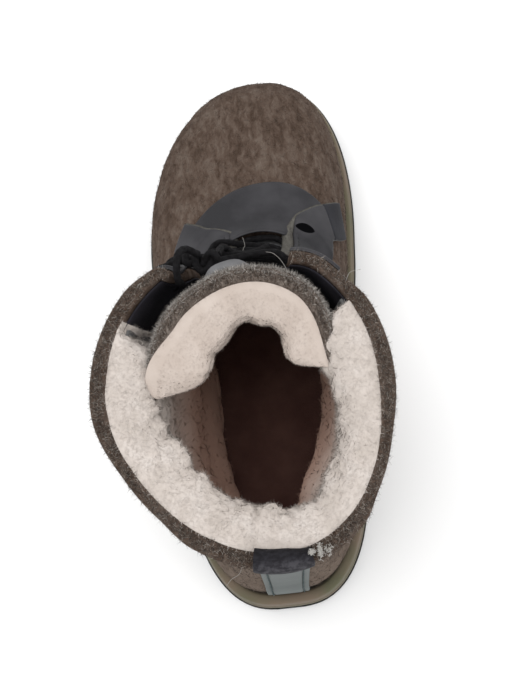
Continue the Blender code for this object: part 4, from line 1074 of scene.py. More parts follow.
COVER = 1.2
LAP = 0.6
FACING_ROOM = 1.6
TONGUE_LOW = THROAT_LEVEL - 0.05
TONGUE_COLUMNS = ("level", "half", "fore", "curl", "shift")
TONGUE_TABLE = (
    (TONGUE_LOW, 22.0, 0.0, 0.0, 0.0),
    (THROAT_LEVEL + 0.08, 31.0, 0.3, 0.5, 0.0),
    (THROAT_LEVEL + 0.25, 44.0, 2.0, 4.0, 0.5),
    (0.9, 74.0, 3.6, 9.0, 2.0),
    (1.0, 86.0, 4.4, 8.6, 3.0),
)
TONGUE_TOP_DROP = 0.035
TONGUE_BED = FELT + FACING_ROOM + COVER + LAP
TONGUE_CURL = (0.4, 0.9)
TONGUE_SIDE_CURL = {1: 0.5, -1: 0.22}
TONGUE_WING_PILE = {1: 6.0, -1: 9.5}
TONGUE_MID_PILE = 5.6     # how much deeper the pile is at its top, in the middle
TONGUE_FOLDS = (          # folds down its pile: place across, width, depth (a bulge where it is below 0)
    (0.24, 0.16, -2.2), (0.60, 0.06, 0.7), (-0.60, 0.055, 0.9), (-0.82, 0.045, 0.9),
)
TONGUE_WRAP = 6.6         # how far the pile comes round the felt at the lateral end
TONGUE_REACH = {1: 1.0, -1: 1.035}
TONGUE_TONES = ((0.43, 0.365, 0.322), (0.455, 0.39, 0.346), (0.485, 0.42, 0.376))
TONGUE_WOOL = ((0.022, 0.014, 0.010), (0.080, 0.058, 0.046), (0.23, 0.195, 0.17))
TONGUE_TURN = 0.135       # turn of its top in radians, lateral side to the back,
TONGUE_PIVOT = np.array((11.0, -15.9))    # and the place that it turns about
TONGUE_LONG = 110.0       # its length and half width, for distances from its edges
TONGUE_WIDE = 70.0
TONGUE_DROP = 6.0         # how much lower its felt ends at the lateral corner
TONGUE_ROWS = 90
TONGUE_ACROSS = 110
TONGUE_FRINGE = slice(4, 100)    # columns over which its top edge gets pale fuzz, partly a painted highlight
TONGUE_LOCK_ROW = 38      # row from which its pile has locks
TONGUE_PILE = 9.0


def tongue_place(up, across, sink):
    """Points of the tongue: up from its foot (0) to its top (1), across from -1 to 1."""
    level = TONGUE_LOW + (1.0 - TONGUE_TOP_DROP * np.abs(across) ** 4 - TONGUE_LOW) * up
    size = smooth_table(TONGUE_COLUMNS, TONGUE_TABLE, level)
    curl = size["curl"] * smoothstep(*TONGUE_CURL, np.abs(across))
    curl = curl * by_side(across, TONGUE_SIDE_CURL)
    half = size["half"] * by_side(across, TONGUE_REACH)
    points = skin(level, across * half + size["shift"], -(TONGUE_BED + size["fore"] + curl) - sink)
    turn = TONGUE_TURN * smoothstep(0.4, 1.0, up) * smoothstep(0.6, -0.3, across)
    off = points[..., :2] - TONGUE_PIVOT
    points[..., 0] = TONGUE_PIVOT[0] + off[..., 0] * np.cos(turn) - off[..., 1] * np.sin(turn)
    points[..., 1] = TONGUE_PIVOT[1] + off[..., 0] * np.sin(turn) + off[..., 1] * np.cos(turn)
    return points


def make_tongue():
    up, across = np.meshgrid(np.linspace(0, 1, TONGUE_ROWS), np.linspace(-1, 1, TONGUE_ACROSS), indexing="ij")
    rounding = rounded(np.minimum((1 - up) * TONGUE_LONG, (1 - np.abs(across)) * TONGUE_WIDE), 1.8)
    place = across * (1 - 0.05 * smoothstep(0.6, 1.0, -across))
    front = tongue_place(up, place, 0.0)
    full = 0.9 * smoothstep(0.8, 1.0, up)
    front = tongue_place(up, place, rounding - full - 0.2 * lumps(front, 11.0, 51))
    back = tongue_place(up, place, FELT + full - rounding)
    for grid in (front, back):
        grid[..., 2] -= TONGUE_DROP * smoothstep(0.7, 1.0, -across) ** 2 * up
    felt = make_felt("tongue_felt", *TONGUE_WOOL, 1.4, 0.5)
    made = add_mesh("tongue_felt", *wall(front, back), felt)
    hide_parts("tongue")
    rng = np.random.default_rng(52)
    roots, normals = scatter(top_rim(front, back), 5000, rng)
    nap = fibres("tongue_edge_nap", roots, normals, 1.8, 0.17, rng, WOOL_FIBRE, lean=0.55, curl=0.8)
    # Pale fibres along the front of the top edge: loose fuzz, made pale as a painted highlight where the edge
    # catches the light.
    fringe = np.stack((front[-4], front[-3], front[-2], front[-1] * 0.75 + back[-1] * 0.25))
    roots, normals = scatter(fringe[:, TONGUE_FRINGE], 5400, rng)
    pale_edge_wool = make_fibre_finish(
        "fuzz_and_highlight_wool", (0.0, (0.16, 0.145, 0.13)), (0.6, (0.34, 0.315, 0.29)), (1.0, (0.55, 0.525, 0.49)))
    nap = fibres("tongue_fuzz_and_highlight_nap", roots, normals, 1.7, 0.2, rng, pale_edge_wool, lean=0.5, curl=0.8)

    pile, fibre = make_pile("tongue_fleece", TONGUE_TONES, 0.11, 0.03)
    wrap = smoothstep(0.52, 0.88, -across)
    high = smoothstep(0.6, 0.88, up)
    wings = (TONGUE_MID_PILE + (TONGUE_WING_PILE[-1] - TONGUE_MID_PILE) * smoothstep(0.05, 0.4, -across)
             + (TONGUE_WING_PILE[1] - TONGUE_MID_PILE) * smoothstep(0.4, 0.9, across)) * high
    for spot, width, deep in TONGUE_FOLDS:
        wings = wings - deep * np.exp(-((across - spot) / width) ** 2) * high
    across = across * (1 + 0.03 * wrap)
    blunt = 6.0 * wrap * (1 - np.sqrt(1 - np.clip((np.abs(across) - 0.88) / 0.16, 0, 1) ** 2))
    behind = FELT + LAP - TONGUE_WRAP * wrap
    bed = tongue_place(up, across, behind + blunt)
    soft = smoothstep(0.0, 0.35, 1 - up)
    puff = 0.6 * lumps(bed, 14.0, 53) * (0.3 + 0.7 * soft)
    seam = 0.7 * np.exp(-(((1 - up) * TONGUE_LONG - 6.5) / 1.4) ** 2) * smoothstep(0.85, 0.5, np.abs(across))
    side = np.sqrt(np.clip(1 - np.abs(across / (1 + 0.03 * wrap)) ** 14, 0.04, 1))
    roll = np.sqrt(np.clip(1 - np.clip((up - 0.93) / 0.072, 0, 1) ** 2, 0.02, 1))
    depth = TONGUE_PILE + wings + TONGUE_WRAP * wrap + puff - 1.0 - seam
    face = tongue_place(up, across, behind + depth * side * roll)
    for grid in (bed, face):
        grid[..., 2] += (1.6 * wrap - 5.0 * smoothstep(0.75, 1.03, -across) ** 2) * up
    made = add_mesh("tongue_fleece_pile", *wall(bed, face), pile)
    light_within(made, 2.2)
    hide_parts("tongue_fleece")
    roots, normals = scatter(face[TONGUE_LOCK_ROW:, ::-1], 28000, rng)
    locks = fibres("tongue_fleece_locks", roots, normals, 0.8, 0.16, rng, fibre, lean=0.9, curl=0.9, soft=2.6)


make_tongue()

# Leather at the lacing: dark grey smooth leather, 1.6 mm, cut to shape and sewn flat on the felt.
# The eyestays sweep out into a tab over the half-moon on the vamp, and their felt backing shows at the edge.
# A thinner piece faces the tongue, with its top folded and padded in the middle.
# A thin darker sheet over the medial tab's outer end is painted shade of its flank.

LEATHER = 1.6
EYESTAY_TOP = {1: 0.988, -1: 0.968}
STAY_EDGE = 0.4
STAY_BARE = {1: 2.8, -1: 0.0}    # felt left bare beside the leather at the throat's foot
STRAP_WIDTH = 22.0
TAB_LAP = 2.0
TAB_PROUD = 2.0           # how much more the tab stands up where its felt lies under it
TAB_TIP = {1: 53.0, -1: 46.0}
TAB_DROP = {1: 0.197, -1: 0.140}
TAB_ROUND = 0.6
MOON_LEVEL = 0.407
MOON_HALF = 39.0
MOON_TIP_DROP = 0.015
MOON_LEAN = 0.014
MOON_LEAST = 0.006
LEATHER_GREY = ((0.019, 0.0185, 0.021), (0.029, 0.028, 0.0315), (0.044, 0.043, 0.047))
# darker tones of the sheet that paints shade on the medial tab's outer end
LEATHER_SHADE_TONES = ((0.008, 0.008, 0.011), (0.013, 0.013, 0.017), (0.02, 0.02, 0.025))
COVER_GREY = ((0.11, 0.11, 0.113), (0.15, 0.15, 0.155), (0.21, 0.21, 0.216))
FELT_CUT = ((0.052, 0.048, 0.042), (0.088, 0.083, 0.074), (0.14, 0.134, 0.12))
# pure black of the patch that paints the slit's shade over the leather
SLIT_SHADE_BLACK = (0.003, 0.003, 0.0035)
EDGE_DROPS = (0.5, 0.12)  # share of its thickness that leather drops at its edge, and beside it
EYELET_RADIUS = 2.6
COVER_SHARE = 0.92        # of the tongue's height and width that its leather covers
COVER_WIDTH = 0.75
COVER_LIP = 0.05          # how much higher the leather comes where it is padded
COVER_FLARE = 3.6         # and how thick it is there
FELT_EDGE_TOP = 0.66      # level up to which the pale cut edge of the felt shows in the throat
FELT_EDGE_SHOW = 1.2      # and how far it stands out past the leather


def make_grain_group():
    """Leather: pebbled grain with fine creases, and broad patches where it is rubbed."""
    group, given, put = new_group("leather_grain", (
        ("Place", "NodeSocketVector", None), ("Pebble Size", "NodeSocketFloat", 900.0),
    ), ("Grain", "Rub"))
    pebbles = add_node(group, "ShaderNodeTexVoronoi", {
        "Vector": given.outputs["Place"], "Scale": given.outputs["Pebble Size"]}, feature="DISTANCE_TO_EDGE")
    crease = add_noise(group, given.outputs["Place"], 240.0, 5.0, Distortion=1.0)
    both = add_node(group, "ShaderNodeMix", {"Factor": 0.45, "A": pebbles.outputs["Distance"], "B": crease})
    group.links.new(both.outputs["Result"], put.inputs["Grain"])
    group.links.new(add_noise(group, given.outputs["Place"], 55.0, 3.0), put.inputs["Rub"])
    return group


GRAIN = make_grain_group()


def make_leather(name, tones, roughness):
    """Leather in three tones: dark, middle and worn."""
    finish, tree, shader = new_finish(name, roughness, specular=0.25)
    grain = place_group(tree, GRAIN, {"Place": object_place(tree), "Pebble Size": 850.0})
    tone = tone_ramp(tree, grain.outputs["Rub"], tuple(zip((0.35, 0.5, 0.72), tones)))
    tree.links.new(tone, shader.inputs["Base Color"])
    gloss = add_node(tree, "ShaderNodeMapRange", {
        "Value": grain.outputs["Rub"], "To Min": roughness - 0.06, "To Max": roughness + 0.12})
    tree.links.new(gloss.outputs["Result"], shader.inputs["Roughness"])
    add_bump(tree, shader, grain.outputs["Grain"], 0.35, 0.25)
    return finish


GREY_LEATHER = make_leather("grey_leather", LEATHER_GREY, 0.5)
SHADE_LEATHER = make_leather("painted_shade_leather", LEATHER_SHADE_TONES, 0.6)
PALE_FELT = make_felt("felt_cut_edge", *FELT_CUT, 2.0, 0.5)


def smooth_path(knots, per_span):
    """Points along a smooth curve through the knots."""
    knots = [np.asarray(k, float) for k in knots]
    ends = [2 * knots[0] - knots[1]] + knots + [2 * knots[-1] - knots[-2]]
    path = []
    for a, b, c, d in zip(ends, ends[1:], ends[2:], ends[3:]):
        for step in range(per_span):
            t = step / per_span
            path.append(0.5 * (2 * b + (c - a) * t + (2 * a - 5 * b + 4 * c - d) * t ** 2
                               + (3 * b - a - 3 * c + d) * t ** 3))
    return np.array(path + [knots[-1]])


def sheet_on_skin(level, around, bed, thick):
    """Outer and inner grid of leather on the felt, with its edges rounded over."""
    rows, columns = level.shape
    r, c = np.meshgrid(np.arange(rows), np.arange(columns), indexing="ij")
    edge = np.minimum(np.minimum(r, rows - 1 - r), np.minimum(c, columns - 1 - c))
    drop = np.where(edge == 0, EDGE_DROPS[0] * thick, np.where(edge == 1, EDGE_DROPS[1] * thick, 0.0))
    top = skin(level, *flap_curl(level, around, bed + thick - drop))
    return top, skin(level, *flap_curl(level, around, bed))


def edge_spaced(count, margin):
    """Shares from 0 to 1 with two close steps at either end, where an edge is rounded."""
    inside = np.linspace(2.5 * margin, 1 - 2.5 * margin, count)
    return np.concatenate(((0.0, margin), inside, (1 - margin, 1.0)))


TAB_ROWS = {              # below the throat's foot: inner level drop and place, outer level drop and place
    1: ((0.198, 38.4, 0.167, 50.0), (0.124, 20.9, 0.085, 32.0),
        (0.073, 10.5, 0.058, 30.5), (0.037, 4.1, 0.035, 30.0)),
    -1: ((0.136, 30.3, 0.128, 43.6), (0.090, 20.5, 0.085, 40.0),
         (0.057, 13.9, 0.060, 37.0), (0.014, 2.7, 0.030, 32.0)),
}
STRAP_ROWS = (            # above it: level, place of the outer edge
    (THROAT_LEVEL, 29.0), (UPPER_LEVELS[ROWS_BELOW + 1], 25.0), (UPPER_LEVELS[ROWS_BELOW + 3], STRAP_WIDTH),
    (0.8, STRAP_WIDTH),
)


def stay_lines(side):
    """Inner and outer edge of an eyestay as fine rows of (level, around)."""
    rows = [(THROAT_LEVEL - row[0], row[1], THROAT_LEVEL - row[2], row[3]) for row in TAB_ROWS[side]]
    rows += [(level, STAY_EDGE + STAY_BARE[side] * smoothstep(0.68, 0.56, level), level, width)
             for level, width in (*STRAP_ROWS, (EYESTAY_TOP[side], STRAP_WIDTH))]
    table = smooth_path([np.array(row) for row in rows], 40)
    length = lengths_along(table * np.array((FRONT_LENGTH, 1, FRONT_LENGTH, 1)))
    wanted = edge_spaced(150, 0.003) * length[-1]
    table = np.stack([np.interp(wanted, length, table[:, k]) for k in range(4)], axis=1)
    inner = np.stack((table[:, 0], side * (throat_half(table[:, 0]) + table[:, 1])), axis=1)
    outer = np.stack((table[:, 2], side * (throat_half(table[:, 2]) + table[:, 3])), axis=1)
    return inner, outer, int((wanted < length[40]).sum())


def tube(path, radius, sides):
    """Points and faces of a round bar along a path; radius may vary along it."""
    path = np.asarray(path, float)
    count = len(path)
    along = unit(np.gradient(path, axis=0))
    radius = np.broadcast_to(radius, count)
    across = np.empty((count, 3))
    across[0] = unit(np.cross(along[0], (0.31, 0.52, 0.79)))
    for index in range(1, count):
        kept = across[index - 1] - along[index] * (across[index - 1] @ along[index])
        across[index] = kept / np.linalg.norm(kept)
    other = np.cross(along, across)
    turn = np.linspace(0, 2 * math.pi, sides, endpoint=False)[None, :, None]
    away = across[:, None] * np.cos(turn) + other[:, None] * np.sin(turn)
    ring = path[:, None] + radius[:, None, None] * away
    index = np.arange(count * sides).reshape(count, sides)
    faces = grid_cells(index, ring=True)
    points = np.concatenate((ring.reshape(-1, 3), path[:1], path[-1:]))
    caps = []
    for ring_row, tip in ((index[0], count * sides), (index[-1], count * sides + 1)):
        for k in range(0, sides, 2):
            caps.append((tip, ring_row[k], ring_row[(k + 1) % sides], ring_row[(k + 2) % sides]))
    return points, np.concatenate((faces, np.array(caps)))


def joined(parts):
    """One set of points and faces from several."""
    points, faces, first = [], [], 0
    for these, corners in parts:
        points.append(these)
        faces.append(np.asarray(corners) + first)
        first += len(these)
    return np.concatenate(points), np.concatenate(faces)


def stitches(line, lift, pitch, long, radius):
    """Row of thread stitches along a line of (level, around), each sunk at both ends."""
    lift = np.broadcast_to(lift, len(line))
    path = skin(line[:, 0], line[:, 1], lift)
    steps = lengths_along(path)
    parts = []
    for start in np.arange(1.0, steps[-1] - long, pitch):
        at = start + np.linspace(0, long, 5)
        level, around, height = (np.interp(at, steps, row) for row in (*line.T, lift))
        arch = np.array((-0.5, 0.15, 0.3, 0.15, -0.5)) * radius * 2
        parts.append(tube(skin(level, *flap_curl(level, around, height + arch)), radius, sides=6))
    return joined(parts)


def on_vamp(level):
    """1 on the vamp below the throat's foot, 0 on the flaps above it."""
    return smoothstep(THROAT_LEVEL + 0.01, THROAT_LEVEL - 0.04, level)


def stay_bed(level):
    """Height of an eyestay's underside, where its tab stands proud of the vamp."""
    return LAP + (TAB_LAP - LAP + TAB_PROUD) * on_vamp(level)


def make_slit():
    """Black patch laid over the leather around the lowest medial eyelet, pulled shut to a slit: painted shade
    of the hole.
    """
    turn = np.linspace(0, 2 * math.pi, 49)
    run = SLIT_LONG * EYELET_RADIUS * np.cos(turn)
    off = EYELET_RADIUS / SLIT_FLAT * np.sin(turn) * np.abs(np.sin(turn)) ** 0.4 - SLIT_LEAN * run + SLIT_RISE
    rise = EYELET_LEVELS[0] + off / FRONT_LENGTH
    place = throat_half(EYELET_LEVELS[0]) + EYELET_PLACE + SLIT_SHIFT + run
    seat = stay_bed(rise) + LEATHER + 0.12
    middle = skin(np.mean(rise), np.mean(place), np.mean(seat) + 0.2)
    points = np.concatenate((skin(rise, place, seat), middle[None]))
    faces = [(k, k + 1, k + 2, len(turn)) for k in range(0, len(turn) - 2, 2)]
    black = plain_finish("slit_painted_shade", 1.0, 0.0, SLIT_SHADE_BLACK)
    made = add_mesh("slit_shade_patch", points, faces, black, closed=False)


def make_eyestay(word, side, thread):
    inner, outer, tip = stay_lines(side)
    share = edge_spaced(26, 0.022)[None, :, None]
    grid = inner[:, None] * (1 - share) + outer[:, None] * share
    level, around = grid[..., 0], grid[..., 1]
    bed = stay_bed(level) + fullness(level, around)
    top, under = sheet_on_skin(level, around, bed, LEATHER)
    middles = ((grid[:-1, :-1] + grid[1:, 1:]) / 2).transpose(2, 0, 1)
    keep = ~in_eyelet(*middles, side, EYELET_RADIUS)
    made = add_mesh(f"eyestay_leather_{word}", *wall(top, under, keep), GREY_LEATHER)
    made.data.set_sharp_from_angle(angle=math.radians(60))
    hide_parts(f"eyestay_{word}")
    if side > 0:
        # thin darker sheet laid over the tab's outer end: painted shade of its flank
        shade_sheet = sheet_on_skin(level[:tip], around[:tip], bed[:tip] + LEATHER - 0.3, 0.5)
        made = add_mesh(f"tab_painted_shade_{word}", *wall(*shade_sheet), SHADE_LEATHER)
        make_slit()
    foot = inner[inner[:, 0] < FELT_EDGE_TOP]
    raised = on_vamp(foot[:, 0])
    past = 1 - raised
    bare = FELT_EDGE_SHOW + 0.35 * STAY_BARE[side]
    backing = skin(foot[:, 0], foot[:, 1] - side * bare * past, 1.0 + 2.4 * raised - 2.6 * past)
    radius = 1.2 + (0.8 + 0.4 * STAY_BARE[side]) * past
    made = add_mesh(f"tab_felt_edge_{word}", *tube(backing, radius, sides=8), PALE_FELT)
    lines = []
    for near in (0.10, 0.92):
        line = (inner * (1 - near) + outer * near)[40:-3]
        lines.append(stitches(line, LAP + LEATHER + 0.1 + fullness(line[:, 0], line[:, 1]), 3.2, 2.3, 0.26))
    made = add_mesh(f"eyestay_stitches_{word}", *joined(lines), thread)


def tab_edge(around):
    """Level of the tabs' front edges at a length round from the toe's middle."""
    share = (np.abs(around) - THROAT_HALF_LOW) / (by_side(around, TAB_TIP) - THROAT_HALF_LOW)
    return THROAT_LEVEL - by_side(around, TAB_DROP) * np.clip(share, 0.0, 1.0) ** TAB_ROUND


def make_moon():
    share = np.sin(math.pi * (edge_spaced(70, 0.01) - 0.5))
    around = MOON_HALF * share
    fore = MOON_LEVEL - MOON_TIP_DROP * share ** 2 - MOON_LEAN * share
    back = np.maximum(tab_edge(around) + 0.02, fore + MOON_LEAST)
    rows = edge_spaced(30, 0.02)[:, None]
    level = fore[None] + (back - fore)[None] * rows
    place = np.broadcast_to(around[None], level.shape)
    top, under = sheet_on_skin(level, place, 0.35, LEATHER - 0.5)
    made = add_mesh("vamp_moon_leather", *wall(top, under), GREY_LEATHER)
    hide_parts("vamp_moon")


def make_cover():
    up, across = np.meshgrid(np.linspace(0, COVER_SHARE, 60), COVER_WIDTH * np.linspace(-1, 1, 60),
                             indexing="ij")
    lip = np.exp(-((across + 0.07) / 0.13) ** 4)
    flare = COVER_FLARE * smoothstep(0.9, 0.97, up / COVER_SHARE) * lip
    up = up * (1 + COVER_LIP * lip)
    front = tongue_place(up, across, -LAP - COVER - flare)
    back = tongue_place(up, across, -LAP)
    leather = make_leather("tongue_leather", COVER_GREY, 0.55)
    made = add_mesh("tongue_leather_cover", *wall(front, back), leather)
    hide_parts("tongue_cover")


def make_thread(name, dark, light):
    return make_speckled(name, 0.7, 0.3, (300.0, 2500.0), ((0.4, dark), (0.6, light)), (0.5, 0.1))


DARK_THREAD = make_thread("dark_thread", (0.018, 0.018, 0.019), (0.03, 0.03, 0.032))
make_eyestay("medial", 1, DARK_THREAD)
make_eyestay("lateral", -1, DARK_THREAD)
make_moon()
make_cover()

# Backstay: a strip of pale grey leather sewn down over the heel seam, with a row of stitches near each side.
# It ends under the pull loop.

STAY_HALF = 11.0
STAY_SHIFT = -0.8
STAY_SEAM = 7.8
STAY_LOW = 0.03
STAY_HIGH = 0.915
BACK_GREY = ((0.038, 0.049, 0.047), (0.054, 0.069, 0.066), (0.080, 0.097, 0.093))


def make_backstay():
    leather = make_leather("back_leather", BACK_GREY, 0.5)
    levels = STAY_LOW + (STAY_HIGH - STAY_LOW) * edge_spaced(90, 0.006)[:, None]
    across = STAY_HALF * (1 - 2 * edge_spaced(30, 0.02))[None]
    around = half_round(levels, 1) + across + STAY_SHIFT
    level = np.broadcast_to(levels, around.shape)
    groove = np.exp(-((np.abs(across) - STAY_SEAM) / 0.7) ** 2)
    top, under = sheet_on_skin(level, around, 0.3 * LAP + fullness(level, around), LEATHER - 0.6 * groove)
    made = add_mesh("backstay_leather", *wall(top, under), leather)
    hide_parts("backstay")
    thread = make_thread("grey_thread", (0.03, 0.045, 0.045), (0.06, 0.08, 0.08))
    lines = []
    for side in (1, -1):
        at = np.linspace(STAY_LOW + 0.01, STAY_HIGH - 0.01, 200)
        line = np.stack((at, half_round(at, 1) + STAY_SHIFT + side * STAY_SEAM), axis=1)
        lines.append(stitches(line, LEATHER + 0.1 + fullness(at, line[:, 1]), 3.4, 2.6, 0.32))
    made = add_mesh("backstay_stitches", *joined(lines), thread)


make_backstay()

# Pull loop: black woven tape folded over the collar at the heel seam and sewn to the shaft below it.
# The tape is left bare.

LOOP_HALF = 11.5
LOOP_THICK = 1.5
LOOP_PRESS = 1.8          # how far the pile presses the tape out at its medial side
TAPE_TURN = (-122.5, -126.0)     # along the boot, where the tape's outside begins
TAPE_DARK = (0.014, 0.013, 0.016)
TAPE_TURNED = (0.026, 0.025, 0.030)
TAPE_DULL = (0.034, 0.032, 0.038)
TAPE_LIGHT = (0.085, 0.082, 0.092)
LOOP_PROFILE = (          # level, lift from the felt, height above the collar
    (0.905, GAP + 1.7, 0.0), (0.92, GAP + 1.5, 0.0), (0.945, GAP + 0.6, 0.0), (0.985, GAP + 0.8, 0.0),
    (1.0, GAP + 1.2, 2.2), (1.0, GAP + 0.3, 5.0), (1.0, -1.2, 6.2), (1.0, -3.2, 5.2),
    (1.0, -FELT + 0.6, 3.0), (1.0, -FELT + 0.3, 0.4), (1.0, -FELT + 0.3, -1.2),
)


def make_weave_group():
    """Plain weave: two sets of threads that pass over and under each other."""
    group, given, put = new_group("tape_weave", (
        ("Place", "NodeSocketVector", None), ("Pitch", "NodeSocketFloat", 2600.0),
    ), ("Height", "Fray"))
    threads = [add_node(group, "ShaderNodeTexWave", {
        "Vector": given.outputs["Place"], "Scale": given.outputs["Pitch"], "Distortion": 0.6},
        wave_type="BANDS", bands_direction=way).outputs["Fac"] for way in "XZ"]
    both = add_node(group, "ShaderNodeMath", dict(enumerate(threads)), operation="MULTIPLY")
    group.links.new(both.outputs["Value"], put.inputs["Height"])
    group.links.new(add_noise(group, given.outputs["Place"], 500.0, 4.0), put.inputs["Fray"])
    return group


WEAVE = make_weave_group()


def make_webbing():
    """Tape that is darker where it turns over the collar and greyer where it hangs down outside."""
    finish, tree, shader = new_finish("black_webbing", 0.85, specular=0.15)
    place = object_place(tree)
    weave = place_group(tree, WEAVE, {"Place": place, "Pitch": 1900.0})
    along = add_node(tree, "ShaderNodeSeparateXYZ", {"Vector": place}).outputs["Y"]
    outside = add_node(tree, "ShaderNodeMapRange", {
        "Value": along, "From Min": TAPE_TURN[0] * MM, "From Max": TAPE_TURN[1] * MM})
    turned, hanging = (tone_ramp(tree, weave.outputs["Fray"], ((0.4, dark), (0.62, light)))
                       for dark, light in ((TAPE_DARK, TAPE_TURNED), (TAPE_DULL, TAPE_LIGHT)))
    mixed = mix_tones(tree, outside.outputs["Result"], turned, hanging)
    tree.links.new(mixed, shader.inputs["Base Color"])
    add_bump(tree, shader, weave.outputs["Height"], 0.8, 0.3)
    return finish


def make_loop():
    lines = []
    for share in np.linspace(1, -1, 13):
        pressed = LOOP_PRESS * smoothstep(0.0, -1.0, share)
        knots = [skin(level, half_round(level, 1) + LOOP_HALF * share, lift + pressed * (lift < -2))
                 + np.array((0.0, 0.0, above)) for level, lift, above in LOOP_PROFILE]
        lines.append(smooth_path(knots, 6))
    inner = np.array(lines)
    away = unit(np.cross(np.gradient(inner, axis=1), (1.0, 0.0, 0.0)))
    made = add_mesh("pull_loop_tape", *wall(inner - away * LOOP_THICK, inner), make_webbing())
    made.data.set_sharp_from_angle(angle=math.radians(60))
    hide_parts("pull_loop")


make_loop()

# Loose threads: white wool lint caught in the felt beside the loop, and a few pale hairs.
# The hairs are single threads, stuck in the felt at one end or at both.

LINT_WHITE = (0.42, 0.405, 0.38)
LINT_RADIUS = 0.085
HAIR_GREY = (0.30, 0.285, 0.265)
HAIR_RADIUS = 0.1
LINT = (                  # middle, spread, threads
    ((14.0, -122.9, 196.0), (0.8, 0.6, 0.3), 60),
    ((17.1, -122.8, 192.3), (0.4, 2.9, 0.3), 90),
    ((20.0, -122.6, 192.0), (1.4, 2.2, 0.3), 34),
)
HAIRS = (
    ((38.6, -20.8, 188.5), (39.6, -19.0, 191.5), (41.4, -16.6, 192.5), (45.6, -15.4, 190.0)),
    ((-13.9, -124.4, 169.0), (-16.0, -127.6, 164.0), (-19.6, -129.2, 159.0), (-22.6, -131.6, 150.0)),
    ((-2.6, 32.0, 98.0), (-1.7, 25.4, 106.0), (-2.4, 22.0, 112.0), (-3.4, 18.0, 112.0)),
    ((-43.4, -13.0, 190.6), (-42.4, -11.8, 192.2), (-41.2, -10.9, 191.4)),
    ((9.1, -2.0, 184.0), (11.5, -3.3, 186.0), (13.7, -5.6, 187.0), (15.4, -8.6, 188.0), (16.7, -11.9, 189.0)),
)


def make_loose_threads():
    rng = np.random.default_rng(71)
    bits = []
    for middle, spread, count in LINT:
        for start in np.array(middle) + np.array(spread) * rng.normal(0, 0.5, (count, 3)):
            turn = rng.uniform(0, 2 * math.pi) + np.array((0.0, 0.5, 0.9)) * rng.choice((-1, 1))
            steps = 0.42 * np.stack((np.cos(turn), np.sin(turn), rng.uniform(-0.3, 0.3, 3)), axis=1)
            path = start + np.concatenate((np.zeros((1, 3)), np.cumsum(steps, axis=0)))
            bits.append(tube(path, LINT_RADIUS, sides=4))
    made = add_mesh("white_lint", *joined(bits), plain_finish("white_thread", 0.8, 0.1, LINT_WHITE))
    hairs = [tube(smooth_path(knots, 6), HAIR_RADIUS, sides=4) for knots in HAIRS]
    made = add_mesh("pale_hairs", *joined(hairs), plain_finish("grey_hair", 0.8, 0.1, HAIR_GREY))


make_loose_threads()

# Lace: one round black braid run through the eyelets, crossed up the throat and knotted beside the
# lateral flap. One end is tucked down inside that flap and the other hangs down on the crossings.

LACE_BLACK = (0.006, 0.0055, 0.006)
LACE_WORN = (0.017, 0.016, 0.018)
LACE_RADIUS = 1.5
LACE_LIFT = LAP + LEATHER + 2 * GAP + LACE_RADIUS
EDGE_LIFT = LACE_LIFT + 1.1
EDGE_SHARE = 0.14
STRAND_EDGE = 2.0
STRAND_APART = 0.020
STRAND_PRESS = 1.4        # how far crossing strands part in the middle of the throat
SLOT_CLEAR = 0.9
SLOT_LIFT = -2.6
SLOT_RUN = 7.0
UNDER_FLAP = 2.4          # how far a strand's end goes on under the flap
UNDER_LIFT = -4.6
BAR_LEVEL = 0.548
TOP_LEVEL = EYELET_LEVELS[-1] + STRAND_APART
TOP_RISE = 0.004
TOP_SEAT = 0.7
TOP_DIP = 1.0
KNOT = np.array((-15.2, -2.6, 178.5))
KNOT_SIZE = np.array((6.5, 4.8, 5.2))
KNOT_MEDIAL = np.array((7.6, 0.8, 1.0))
KNOT_LATERAL = np.array((-8.8, 1.8, -0.5))
KNOT_FRONT = np.array((4.1, 4.2, -3.3))
END_FRONT = (             # level, share of the way across
    (0.88, 0.5), (0.80, 0.55), (0.73, 0.65), (0.67, 0.8), (0.63, 0.95),
)
END_CLEAR = 1.5
TUCKED_END = (
    (-18.3, 0.2, 184.0), (-22.8, 1.4, 189.4), (-25.6, -1.8, 193.6), (-26.6, -6.8, 194.0),
    (-26.9, -10.8, 189.5), (-26.4, -10.6, 182.0), (-25.6, -9.8, 174.0),
)


def make_braid():
    finish, tree, shader = new_finish("black_lace", 0.85, specular=0.12)
    weave = place_group(tree, WEAVE, {"Place": object_place(tree), "Pitch": 2300.0})
    tone = tone_ramp(tree, weave.outputs["Fray"], ((0.35, LACE_BLACK), (0.7, LACE_WORN)))
    tree.links.new(tone, shader.inputs["Base Color"])
    add_bump(tree, shader, weave.outputs["Height"], 0.9, 0.45)
    return finish


BRAID = make_braid()


def eyelet_dive(level):
    """Points of a strand on its way out of a lateral eyelet, from behind the felt to the leather's face."""
    place = -(throat_half(level) + EYELET_PLACE)
    return [skin(level, place, -FELT - 1.5), skin(level, place, 1.0)]


def slot_run(level, side):
    """Last points of a strand that passes under a flap's edge."""
    half = throat_half(level)
    return [skin(level, side * (half - SLOT_CLEAR - SLOT_RUN), SLOT_LIFT),
            skin(level, side * (half - SLOT_CLEAR), SLOT_LIFT - 0.6),
            skin(level, side * (half + UNDER_FLAP), UNDER_LIFT)]


def flap_edge(level):
    """Point where a strand turns over the lateral flap's edge."""
    return skin(level, -throat_half(level) - STRAND_EDGE, EDGE_LIFT)


